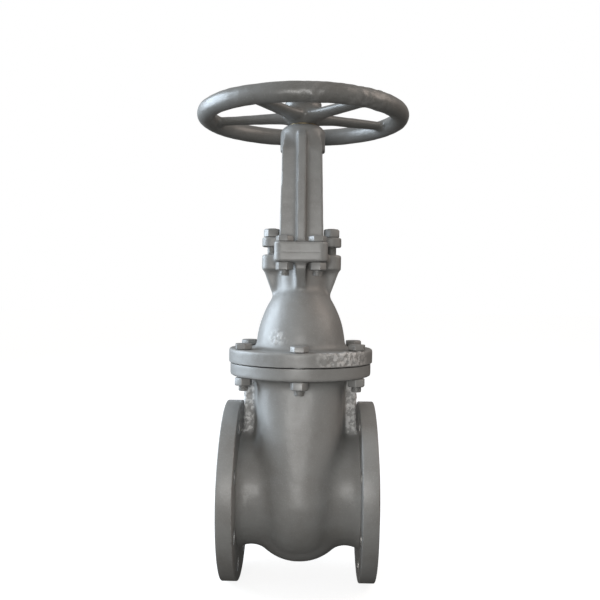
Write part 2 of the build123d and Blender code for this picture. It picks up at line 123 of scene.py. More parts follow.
class Socket:
    """A shader socket that does sums: an expression on it adds the Math nodes it needs."""

    def __init__(self, graph: Graph, socket: bpy.types.NodeSocket) -> None:
        """Wrap one output.

        Args:
            graph: the graph that the output belongs to.
            socket: the output.
        """
        self.graph = graph
        self.socket = socket

    def _sum(
        self, operation: str, first: Socket | float, second: Socket | float, clamp: bool = False
    ) -> Socket:
        """Add one Math node.

        Args:
            operation: the node's operation.
            first: its first value.
            second: its second value.
            clamp: whether the result is held between 0 and 1.

        Returns:
            The node's result.
        """
        settings = {"operation": operation, "use_clamp": clamp}
        return self.graph.node("ShaderNodeMath", settings, {0: first, 1: second})

    def __add__(self, other: Socket | float) -> Socket:
        """Sum of two values."""
        return self._sum("ADD", self, other)

    __radd__ = __add__

    def __sub__(self, other: Socket | float) -> Socket:
        """Difference of two values."""
        return self._sum("SUBTRACT", self, other)

    def __rsub__(self, other: Socket | float) -> Socket:
        """Difference of two values, the other way round."""
        return self._sum("SUBTRACT", other, self)

    def __mul__(self, other: Socket | float) -> Socket:
        """Product of two values."""
        return self._sum("MULTIPLY", self, other)

    __rmul__ = __mul__

    def __pow__(self, other: Socket | float) -> Socket:
        """Power of a value."""
        return self._sum("POWER", self, other)

    def clamped(self) -> Socket:
        """The value held between 0 and 1."""
        return self._sum("ADD", self, 0.0, clamp=True)

    def sine(self) -> Socket:
        """Sine of the value."""
        return self._sum("SINE", self, 0.0)

    def ramp(self, low: float, high: float) -> Socket:
        """Smooth step from 0 at low to 1 at high.

        Args:
            low: the value that gives 0.
            high: the value that gives 1.

        Returns:
            The stepped value.
        """
        settings = {"interpolation_type": "SMOOTHSTEP", "clamp": True}
        inputs = {"Value": self, "From Min": low, "From Max": high, "To Min": 0.0, "To Max": 1.0}
        return self.graph.node("ShaderNodeMapRange", settings, inputs)


class Graph:
    """The node graph of one material or of the world, with one method that adds any node."""

    def __init__(self, owner: bpy.types.Material | bpy.types.World) -> None:
        """Start with an empty graph.

        Args:
            owner: the material or the world.
        """
        self.owner = owner
        owner.use_nodes = True
        self.tree = owner.node_tree
        self.tree.nodes.clear()

    def node(
        self,
        kind: str,
        settings: dict[str, object] | None = None,
        inputs: dict[str | int, object] | None = None,
        output: str | int = 0,
    ) -> Socket | None:
        """Add a node.

        Args:
            kind: the node's type.
            settings: the node's own settings, which are set first.
            inputs: values or links of its sockets, by name or place.
            output: the output to give back, by name or place.

        Returns:
            The chosen output, or None on a node without outputs.
        """
        added = self.tree.nodes.new(kind)
        for key, value in (settings or {}).items():
            setattr(added, key, value)
        for key, value in (inputs or {}).items():
            if isinstance(value, Socket):
                self.tree.links.new(value.socket, added.inputs[key])
            else:
                added.inputs[key].default_value = value
        return Socket(self, added.outputs[output]) if len(added.outputs) else None

    def place(self) -> Socket:
        """Position on the piece, in its own frame, which moves with it."""
        return self.node("ShaderNodeTexCoord", output="Object")

    def parts_of(self, vector: Socket) -> list[Socket]:
        """The x, y and z of a vector."""
        split = self.node("ShaderNodeSeparateXYZ", inputs={0: vector})
        return [Socket(self, output) for output in split.socket.node.outputs]

    def cloud(self, place: Socket, size: float, detail: float = 3.0, rough: float = 0.55) -> Socket:
        """Soft noise from 0 to 1.

        Args:
            place: where it is read.
            size: width of one patch, in millimetres.
            detail: finer layers added.
            rough: strength of the finer layers.

        Returns:
            The noise.
        """
        inputs = {"Vector": place, "Scale": 1 / (size * MM), "Detail": detail, "Roughness": rough}
        return self.node("ShaderNodeTexNoise", {"noise_dimensions": "3D"}, inputs)

    def cells(self, place: Socket, size: float) -> Socket:
        """Distance to the nearest of many scattered points, in cells.

        Args:
            place: where it is read.
            size: width of one cell, in millimetres.

        Returns:
            The distance.
        """
        inputs = {"Vector": place, "Scale": 1 / (size * MM)}
        return self.node("ShaderNodeTexVoronoi", {"feature": "F1"}, inputs)

    def grooves(self, first: Socket, second: Socket, spacing: float, tilt: Socket | float = 0.0) -> Socket:
        """Fine turning marks from 0 to 1, in circles round an axis.

        Args:
            first: distance from the axis along one direction.
            second: distance from the axis square to it.
            spacing: distance between two marks, in millimetres.
            tilt: place along the axis, where the marks follow it too.

        Returns:
            The marks.
        """
        radius = (first * first + second * second) ** 0.5 + tilt
        return (radius * (2 * math.pi / (spacing * MM))).sine() * 0.5 + 0.5

    def stored(self, name: str) -> Socket:
        """A number that is stored on the mesh under a name."""
        return self.node("ShaderNodeAttribute", {"attribute_name": name}, output="Fac")

    def mix(self, factor: Socket | float, first: Socket | Colour, second: Socket | Colour) -> Socket:
        """Mix two colours.

        Args:
            factor: share of the second.
            first: the first colour.
            second: the second colour.

        Returns:
            The mixed colour.
        """
        pair = [value if isinstance(value, Socket) else (*value, 1.0) for value in (first, second)]
        inputs = {0: factor, 6: pair[0], 7: pair[1]}
        return self.node("ShaderNodeMix", {"data_type": "RGBA"}, inputs, output=2)

    def bump(self, height: Socket, depth: float, under: Socket | None = None) -> Socket:
        """Normal that follows a height.

        Args:
            height: the height, from 0 to 1.
            depth: how far the surface rises from 0 to 1, in millimetres.
            under: a normal to build on.

        Returns:
            The normal.
        """
        inputs: dict[str | int, object] = {"Height": height, "Distance": depth * MM, "Strength": 1.0}
        if under is not None:
            inputs["Normal"] = under
        return self.node("ShaderNodeBump", None, inputs)

    def close(self, inputs: dict[str | int, object]) -> bpy.types.Material:
        """Finish the graph with a Principled shader.

        Args:
            inputs: the shader's values and links.

        Returns:
            The material.
        """
        shader = self.node("ShaderNodeBsdfPrincipled", None, inputs)
        self.node("ShaderNodeOutputMaterial", None, {"Surface": shader})
        return self.owner


# Finishes


@dataclass(frozen=True)
class CastPaint:
    """Grey paint over a sand-cast skin, brushed or put on with a spray gun.

    The mesh stores how deep a corner lies in a hollow as "hollow", how far it stands on an edge as "edge",
    how coarse the sand was as "coarse" and which faces a tool has bared as "bare". A mesh that lacks one of
    them has 0 there.
    """

    name: str = "cast_paint"
    colour: Colour = (0.256, 0.257, 0.252)
    thin: Colour = (0.217, 0.213, 0.205)
    # Lighter paint: specks in the grain, and a painted highlight along edges
    dust_and_edge_highlight: Colour = (0.333, 0.333, 0.324)
    # Darker colour painted into hollows as shade
    painted_shade: Colour = (0.085, 0.082, 0.075)
    grain: float = 1.9
    grain_depth: float = 0.11
    lump: float = 8.0
    lump_depth: float = 0.26
    patch: float = 55.0
    pit: float = 3.4
    gloss: float = 0.36
    # Colour of a coarse sand skin, partly a painted sheen where rough facets would catch light
    rough_skin_and_sheen: Colour = (0.6, 0.6, 0.595)
    crust: float = 4.6
    bare_metal: Colour = (0.58, 0.57, 0.55)
    bare_gloss: float = 0.3
    bare_share: float = 0.6
    groove: float = 0.8
    ior: float = 1.6

    def make(self) -> bpy.types.Material:
        """Build the material.

        Returns:
            The material.
        """
        graph = Graph(bpy.data.materials.new(self.name))
        place = graph.place()
        grain = graph.cloud(place, self.grain, 4.0, 0.6)
        lumps = graph.cloud(place, self.lump, 3.0, 0.5)
        patches = graph.cloud(place, self.patch, 4.0, 0.6)
        pits = graph.cells(place, self.pit).ramp(0.34, 0.12)
        coarse, hollow, edge, bare = (graph.stored(name) for name in ("coarse", "hollow", "edge", "bare"))
        colour = graph.mix(patches.ramp(0.38, 0.68), self.colour, self.thin)
        # Random grain gives lighter specks of paint; corners on an edge are lightened too, a painted
        # highlight
        colour = graph.mix((grain.ramp(0.5, 0.72) * 0.35 + edge * 0.3).clamped(), colour, self.dust_and_edge_highlight)
        # Coarse sand gives a lighter rough skin; on the webs and hubs that lightness is partly a painted
        # sheen of light caught by rough facets
        crust = graph.cloud(place, self.crust, 3.0, 0.55).ramp(0.44, 0.58)
        colour = graph.mix((coarse * (0.2 + 0.9 * crust)).clamped(), colour, self.rough_skin_and_sheen)
        # Painted shade: corners that lie in a hollow get a darker colour, as shade in a crevice
        shadow = (hollow * (0.35 + 0.5 * lumps) * (1 - 0.85 * coarse)).clamped()
        colour = graph.mix(shadow, colour, self.painted_shade)
        roughness = self.gloss + 0.16 * (grain - 0.5) + 0.12 * patches + 0.2 * hollow
        height = grain * (0.45 + 1.4 * coarse) + crust * coarse * 3.5 + pits * patches.ramp(0.5, 0.62) * 0.5
        _, across, up = graph.parts_of(place)
        groove = graph.grooves(across, up, self.groove)
        colour = graph.mix(bare, colour, graph.mix(patches, self.bare_metal, self.thin))
        roughness = roughness + bare * (self.bare_gloss + 0.2 * patches - roughness)
        normal = graph.bump(lumps, self.lump_depth)
        normal = graph.bump(height * (1 - bare) + groove * bare * 0.8, self.grain_depth, normal)
        inputs = {"Base Color": colour, "Roughness": roughness, "Normal": normal, "IOR": self.ior}
        return graph.close(inputs | {"Metallic": bare * self.bare_share})


@dataclass(frozen=True)
class TurnedMetal:
    """Bare metal with fine turning marks round the stem or the pipe, and patches of film."""

    name: str
    colour: Colour
    film: Colour
    roughness: float = 0.32
    film_share: float = 0.5
    groove: float = 0.45
    level_axis: bool = False
    axis_place: float = 95.0
    film_size: float = 9.0
    speckle_size: float = 1.2
    mark_depth: float = 0.05
    metallic: float = 0.9

    def make(self) -> bpy.types.Material:
        """Build the material.

        Returns:
            The material.
        """
        graph = Graph(bpy.data.materials.new(self.name))
        place = graph.place()
        along, across, up = graph.parts_of(place)
        film = graph.cloud(place, self.film_size, 5.0, 0.65).ramp(0.35, 0.75)
        speckle = graph.cloud(place, self.speckle_size, 2.0)
        if self.level_axis:
            marks = graph.grooves(across, up, self.groove)
        else:
            marks = graph.grooves(along - self.axis_place * MM, across, self.groove, up)
        colour = graph.mix(film * self.film_share, self.colour, self.film)
        colour = graph.mix(speckle.ramp(0.58, 0.75) * 0.3, colour, self.film)
        roughness = self.roughness + 0.25 * film + 0.1 * speckle
        normal = graph.bump(marks * 0.35 + speckle * 0.4, self.mark_depth)
        inputs = {"Base Color": colour, "Roughness": roughness, "Normal": normal}
        return graph.close(inputs | {"Metallic": self.metallic})


@dataclass(frozen=True)
class PressedFibre:
    """A soft pressed sheet or cord, such as a gasket or graphite packing."""

    name: str
    colour: Colour
    fleck: Colour
    roughness: float = 0.75
    fibre: float = 1.4
    fibre_depth: float = 0.08

    def make(self) -> bpy.types.Material:
        """Build the material.

        Returns:
            The material.
        """
        graph = Graph(bpy.data.materials.new(self.name))
        place = graph.place()
        fibre = graph.cloud(place, self.fibre, 5.0, 0.7)
        colour = graph.mix(fibre.ramp(0.45, 0.7), self.colour, self.fleck)
        normal = graph.bump(fibre, self.fibre_depth)
        roughness = self.roughness + 0.2 * (fibre - 0.5)
        return graph.close({"Base Color": colour, "Roughness": roughness, "Normal": normal})


@dataclass(frozen=True)
class StudioFloor:
    """A plain pale floor."""

    name: str = "studio_floor"
    colour: Colour = (0.34, 0.34, 0.34)
    shade: Colour = (0.32, 0.32, 0.325)
    patch: float = 400.0
    roughness: float = 0.8
    glow: float = 0.86

    def make(self) -> bpy.types.Material:
        """Build the material.

        Returns:
            The material.
        """
        graph = Graph(bpy.data.materials.new(self.name))
        patches = graph.cloud(graph.place(), self.patch, 2.0)
        inputs = {"Base Color": graph.mix(patches, self.colour, self.shade), "Roughness": self.roughness}
        glow = {"Emission Color": (1.0, 1.0, 1.0, 1.0), "Emission Strength": self.glow}
        return graph.close(inputs | glow)


# Shapes


def arc(centre: Point, radius: float, start: float, end: float, steps: int = 8) -> list[Point]:
    """Points on an arc.

    Args:
        centre: its centre.
        radius: its radius.
        start: bearing of its first point, in degrees.
        end: bearing of its last point, in degrees.
        steps: straight pieces in it.

    Returns:
        The points, first and last included.
    """
    bearings = [math.radians(start + (end - start) * step / steps) for step in range(steps + 1)]
    return [(centre[0] + radius * math.cos(turn), centre[1] + radius * math.sin(turn)) for turn in bearings]


def rounded(corners: Sequence[Spot], closed: bool = True, steps: int = 6) -> list[Point]:
    """Outline through corners, each rounded with its own radius.

    Args:
        corners: x, y and radius of each corner.
        closed: whether the last corner joins the first; otherwise both ends stay sharp.
        steps: straight pieces in each rounded corner.

    Returns:
        The outline's points.
    """
    outline: list[Point] = []
    count = len(corners)
    for index, (x, y, radius) in enumerate(corners):
        at_end = not closed and index in (0, count - 1)
        if radius <= 0 or at_end:
            outline.append((x, y))
            continue
        corner = Vector((x, y))
        back = (Vector(corners[index - 1][:2]) - corner).normalized()
        ahead = (Vector(corners[(index + 1) % count][:2]) - corner).normalized()
        half = back.angle(ahead) / 2
        reach = radius / math.tan(half)
        centre = corner + (back + ahead).normalized() * radius / math.sin(half)
        start = corner + back * reach - centre
        end = corner + ahead * reach - centre
        sweep = start.angle_signed(end)
        for step in range(steps + 1):
            turned = Matrix.Rotation(-sweep * step / steps, 2) @ start
            outline.append(tuple(centre + turned))
    return outline


def block_outline(half_x: float, half_y: float, radius: float, steps: int) -> list[Point]:
    """Outline of an upright block with rounded corners.

    Args:
        half_x: half of its width.
        half_y: half of its depth.
        radius: radius of its corners.
        steps: straight pieces in each corner.

    Returns:
        The outline's points.
    """
    return rounded([(x * half_x, y * half_y, radius) for x, y in CORNER_SIGNS], steps=steps)


def slot_outline(reach: float, radius: float, steps: int) -> list[Point]:
    """Outline of a bar with round ends.

    Args:
        reach: how far the centres of the ends lie from the middle.
        radius: radius of the ends.
        steps: straight pieces in each end.

    Returns:
        The outline's points.
    """
    return arc((reach, 0), radius, -90, 90, steps) + arc((-reach, 0), radius, 90, 270, steps)


def on_circle(radius: float, count: int, first: float = 90.0) -> list[Point]:
    """Evenly spaced spots on a circle, counted from a first bearing in degrees."""
    bearings = [math.radians(first + index * 360 / count) for index in range(count)]
    return [(radius * math.cos(turn), radius * math.sin(turn)) for turn in bearings]


def ring_of(outline: Sequence[Point], height: float) -> list[Spot]:
    """An outline laid flat at a height."""
    return [(x, y, height) for x, y in outline]


UPRIGHT = Matrix.Identity(4)
PIPE = Matrix(((0, 0, 1, 0), (1, 0, 0, 0), (0, 1, 0, 0), (0, 0, 0, 1)))
FRONT = Matrix(((1, 0, 0, 0), (0, 0, -1, 0), (0, 1, 0, 0), (0, 0, 0, 1)))


class Shape:
    """Closed skins in millimetres, drawn one after another and kept in one list of corners and faces."""

    def __init__(self) -> None:
        """Start empty."""
        self.corners: list[Spot] = []
        self.faces: list[tuple[int, ...]] = []

    def skin(self, rings: Sequence[Sequence[Spot]], turn: Matrix = UPRIGHT, looped: bool = False) -> Shape:
        """Join rings with equally many corners into one closed skin.

        Args:
            rings: the rings, in order along the skin.
            turn: turns and moves the rings into place.
            looped: whether the last ring joins the first; otherwise both ends are capped.

        Returns:
            This shape.
        """
        base = len(self.corners)
        size = len(rings[0])
        for ring in rings:
            self.corners.extend(tuple(turn @ Vector(corner)) for corner in ring)
        last = len(rings) if looped else len(rings) - 1
        for row in range(last):
            here = base + row * size
            there = base + (row + 1) % len(rings) * size
            for step in range(size):
                after = (step + 1) % size
                self.faces.append((here + step, here + after, there + after, there + step))
        if not looped:
            self.faces.append(tuple(range(base + size - 1, base - 1, -1)))
            self.faces.append(tuple(range(base + last * size, base + last * size + size)))
        return self

    def lathe(
        self, profile: Sequence[Point], steps: int, turn: Matrix = UPRIGHT, looped: bool = False
    ) -> Shape:
        """Turn a profile round the local z axis.

        Args:
            profile: radius and height of its points.
            steps: straight pieces round the axis.
            turn: places the turned shape.
            looped: whether the profile is closed, as on a ring.

        Returns:
            This shape.
        """
        bearings = [2 * math.pi * step / steps for step in range(steps)]
        ways = [(math.cos(bearing), math.sin(bearing)) for bearing in bearings]
        rings = [[(radius * x, radius * y, height) for x, y in ways] for radius, height in profile]
        return self.skin(rings, turn, looped)

    def cylinder(self, spot: Point, radius: float, low: float, high: float, steps: int = 32) -> Shape:
        """Add an upright cylinder.

        Args:
            spot: x and y of its axis.
            radius: its radius.
            low: height of its lower end.
            high: height of its upper end.
            steps: straight pieces round it.

        Returns:
            This shape.
        """
        return self.lathe([(radius, low), (radius, high)], steps, Matrix.Translation((*spot, 0)))

    def prism(self, outline: Sequence[Point], low: float, high: float, turn: Matrix = UPRIGHT) -> Shape:
        """Stretch an outline from one height to another.

        Args:
            outline: its points.
            low: the first height.
            high: the second height.
            turn: places the prism.

        Returns:
            This shape.
        """
        return self.skin([ring_of(outline, low), ring_of(outline, high)], turn)

    def mesh(self, name: str, stem_x: float) -> bpy.types.Object:
        """Make an object of what has been drawn.

        Args:
            name: the object's name.
            stem_x: place of the stem axis in the frame, in metres.

        Returns:
            The object, in the frame.
        """
        made = bmesh.new()
        corners = [made.verts.new((stem_x + x * MM, y * MM, z * MM)) for x, y, z in self.corners]
        for face in self.faces:
            made.faces.new([corners[index] for index in face])
        bmesh.ops.remove_doubles(made, verts=made.verts, dist=1e-7)
        bmesh.ops.recalc_face_normals(made, faces=made.faces)
        mesh = bpy.data.meshes.new(name)
        made.to_mesh(mesh)
        made.free()
        piece = bpy.data.objects.new(name, mesh)
        bpy.context.scene.collection.objects.link(piece)
        return piece


def slab(low: float, high: float, half: float = 150.0) -> Shape:
    """A flat block as wide as the valve, which planes a joint face.

    Args:
        low: its lower face.
        high: its upper face.
        half: half of its width.

    Returns:
        The block.
    """
    return Shape().prism([(x * half, y * half) for x, y in CORNER_SIGNS], low, high)


def settle(piece: bpy.types.Object) -> None:
    """Turn a piece's modifiers into its mesh.

    Args:
        piece: the piece.
    """
    shown = piece.evaluated_get(bpy.context.evaluated_depsgraph_get())
    mesh = bpy.data.meshes.new_from_object(shown)
    spent = piece.data
    piece.modifiers.clear()
    piece.data = mesh
    bpy.data.meshes.remove(spent)


def change(piece: bpy.types.Object, tool: bpy.types.Object, cut: Cut) -> None:
    """Cut a piece with a tool, or join the tool to it, and remove the tool.

    Args:
        piece: the piece that changes.
        tool: a closed solid.
        cut: what is done with it.
    """
    modifier = piece.modifiers.new("cut", "BOOLEAN")
    modifier.operation = cut.value
    modifier.solver = "MANIFOLD"
    modifier.object = tool
    settle(piece)
    spent = tool.data
    bpy.data.objects.remove(tool)
    bpy.data.meshes.remove(spent)


def rise(values: np.ndarray, low: float, high: float) -> np.ndarray:
    """Straight rise from 0 at low to 1 at high, held at both ends."""
    return np.clip((values - low) / (high - low), 0, 1)


@dataclass(frozen=True)
class Ripple:
    """Soft humps of a cast surface: their width and height in millimetres, and a seed."""

    size: float
    depth: float
    seed: float


class Skin:
    """The surface of a fused casting, which is moved as a whole."""

    def __init__(self, piece: bpy.types.Object) -> None:
        """Read the surface.

        Args:
            piece: the casting.
        """
        self.piece = piece
        mesh = piece.data
        mesh.calc_loop_triangles()
        places = np.empty(len(mesh.vertices) * 3)
        mesh.vertices.foreach_get("co", places)
        ends = np.empty(len(mesh.edges) * 2, dtype=np.int32)
        mesh.edges.foreach_get("vertices", ends)
        triangles = np.empty(len(mesh.loop_triangles) * 3, dtype=np.int32)
        mesh.loop_triangles.foreach_get("vertices", triangles)
        self.places = places.reshape(-1, 3)
        self.ends = ends.reshape(-1, 2)
        self.triangles = triangles.reshape(-1, 3)
        self.count = len(self.places)
        self.share = 1 / np.bincount(ends, minlength=self.count)

    def gather(self, where: np.ndarray, what: np.ndarray) -> np.ndarray:
        """Sum vectors at the corners they belong to.

        Args:
            where: a corner's number for each vector.
            what: the vectors.

        Returns:
            The sum at each corner.
        """
        columns = [np.bincount(where, weights=column, minlength=self.count) for column in what.T]
        return np.stack(columns, axis=1)

    def average(self, values: np.ndarray) -> np.ndarray:
        """Mean of each corner's neighbours.

        Args:
            values: a vector at each corner.

        Returns:
            The means.
        """
        first, second = self.ends.T
        sums = self.gather(first, values[second]) + self.gather(second, values[first])
        return sums * self.share[:, None]

    def normals(self) -> np.ndarray:
        """Outward unit normal at each corner.

        Returns:
            One row for each corner.
        """
        a, b, c = (self.places[self.triangles[:, index]] for index in range(3))
        across = np.cross(b - a, c - a)
        total = sum(self.gather(self.triangles[:, index], across) for index in range(3))
        return total / np.maximum(np.linalg.norm(total, axis=1, keepdims=True), 1e-12)

    def drawn(self, stem_x: float) -> tuple[np.ndarray, np.ndarray, np.ndarray]:
        """The corners' x, y and z on the axes of the drawing, in millimetres."""
        return (self.places[:, 0] - stem_x) / MM, self.places[:, 1] / MM, self.places[:, 2] / MM

    def soften(self, rounds: int, weight: np.ndarray | float = 1.0) -> None:
        """Round every edge a little.

        Args:
            rounds: how often corners move half way to their neighbours' mean.
            weight: share of the move, as one number or one for each corner.
        """
        for _ in range(rounds):
            self.places += (self.average(self.places) - self.places) * 0.5 * np.reshape(weight, (-1, 1))

    def fill(self, rounds: int, shrink: float = 0.06, weight: np.ndarray | float = 1.0) -> None:
        """Fill inner corners, as the fillets of a foundry pattern do.

        Args:
            rounds: how often the surface moves.
            shrink: share of the inward moves that is kept.
            weight: share of the move, as one number or one for each corner.
        """
        for _ in range(rounds):
            step = (self.average(self.places) - self.places) * np.reshape(weight, (-1, 1))
            normal = self.normals()
            along = np.einsum("ij,ij->i", step, normal)
            kept = np.where(along > 0, along, along * shrink)
            self.places += step + normal * (kept - along)[:, None]

    def ripple(self, ripple: Ripple, weight: np.ndarray | float = 1.0) -> None:
        """Raise and sink the surface by soft noise.

        Args:
            ripple: the humps.
            weight: share of the move, as one number or one for each corner.
        """
        shift = Vector((ripple.seed, -ripple.seed, 2 * ripple.seed))
        scaled = self.places / (ripple.size * MM)
        height = np.fromiter((noise.noise(Vector(spot) + shift) for spot in scaled), float, self.count)
        self.places += self.normals() * (height * ripple.depth * MM * weight)[:, None]

    def relief(self, rounds: int, reach: float) -> np.ndarray:
        """How far each corner lies below (above 0) or above (below 0) the smoothed surface.

        Args:
            rounds: rounds of smoothing.
            reach: the distance that counts as 1, in millimetres.

        Returns:
            The measure, from -1 to 1.
        """
        smooth = self.places.copy()
        for _ in range(rounds):
            smooth += (self.average(smooth) - smooth) * 0.7
        along = np.einsum("ij,ij->i", smooth - self.places, self.normals())
        return np.clip(along / (reach * MM), -1, 1)

    def write(self) -> None:
        """Put the moved corners back into the mesh."""
        self.piece.data.vertices.foreach_set("co", self.places.ravel())
        self.piece.data.update()


def fused(shape: Shape, name: str, stem_x: float, grid: float) -> Skin:
    """Fuse overlapping skins into one surface.

    Args:
        shape: the skins.
        name: the piece's name.
        stem_x: place of the stem axis in the frame, in metres.
        grid: width of the mesh, in millimetres.

    Returns:
        The surface, still stepped by the grid.
    """
    piece = shape.mesh(name, stem_x)
    modifier = piece.modifiers.new("fuse", "REMESH")
    modifier.mode = "VOXEL"
    modifier.voxel_size = grid * MM
    settle(piece)
    return Skin(piece)


def store(
    piece: bpy.types.Object, skin_places: np.ndarray, values: dict[str, np.ndarray], reach: float = 4.0
) -> None:
    """Store numbers of a surface on a mesh that was cut out of it.

    Args:
        piece: the cut piece.
        skin_places: corners of the surface.
        values: for each name, a number at each of those corners.
        reach: how far from the surface its numbers still hold, in millimetres.
    """
    tree = kdtree.KDTree(len(skin_places))
    for index, spot in enumerate(skin_places):
        tree.insert(spot, index)
    tree.balance()
    found = [tree.find(vertex.co) for vertex in piece.data.vertices]
    nearest = np.array([index for _, index, _ in found])
    near = np.array([distance < reach * MM for _, _, distance in found])
    for name, numbers in values.items():
        attribute = piece.data.attributes.new(name, "FLOAT", "POINT")
        attribute.data.foreach_set("value", np.where(near, numbers[nearest], 0.0))


def shade(piece: bpy.types.Object, angle: float) -> None:
    """Shade a piece smoothly, except over edges sharper than an angle in degrees."""
    piece.data.polygons.foreach_set("use_smooth", [True] * len(piece.data.polygons))
    piece.data.set_sharp_from_angle(angle=math.radians(angle))


def machined(
    skin: Skin,
    cutters: Sequence[Shape],
    stem_x: float,
    measure: np.ndarray,
    coarse: np.ndarray | None = None,
) -> bpy.types.Object:
    """Cut a casting, store on it how its skin lay before, and shade it.

    Args:
        skin: the casting's surface, already written to its mesh.
        cutters: solids that are cut away, in order.
        stem_x: place of the stem axis in the frame, in metres.
        measure: how far the surface lies in a hollow (above 0) or on an edge (below 0).
        coarse: how coarse the sand was, from 0 to 1.

    Returns:
        The casting.
    """
    for cutter in cutters:
        change(skin.piece, cutter.mesh("cutter", stem_x), Cut.AWAY)
    values = {"hollow": np.clip(measure, 0, 1), "edge": np.clip(-measure, 0, 1)}
    if coarse is not None:
        values["coarse"] = coarse
    store(skin.piece, skin.places, values)
    shade(skin.piece, CASTING_CREASE)
    return skin.piece


def pipe_bore(radius: float, half: float) -> Shape:
    """A cylinder on the pipe axis, as long on both sides of the stem."""
    return Shape().lathe([(radius, -half), (radius, half)], 128, PIPE)


# Sub-assemblies


@dataclass
class Site:
    """Places that every sub-assembly shares, read from the frame."""

    stem_x: float
    floor: float

    @classmethod
    def of_frame(cls) -> Site:
        """Read the places.

        Returns:
            The site.
        """
        low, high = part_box("stem")
        return cls(stem_x=(low[0] + high[0]) / 2, floor=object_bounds()[0][2])


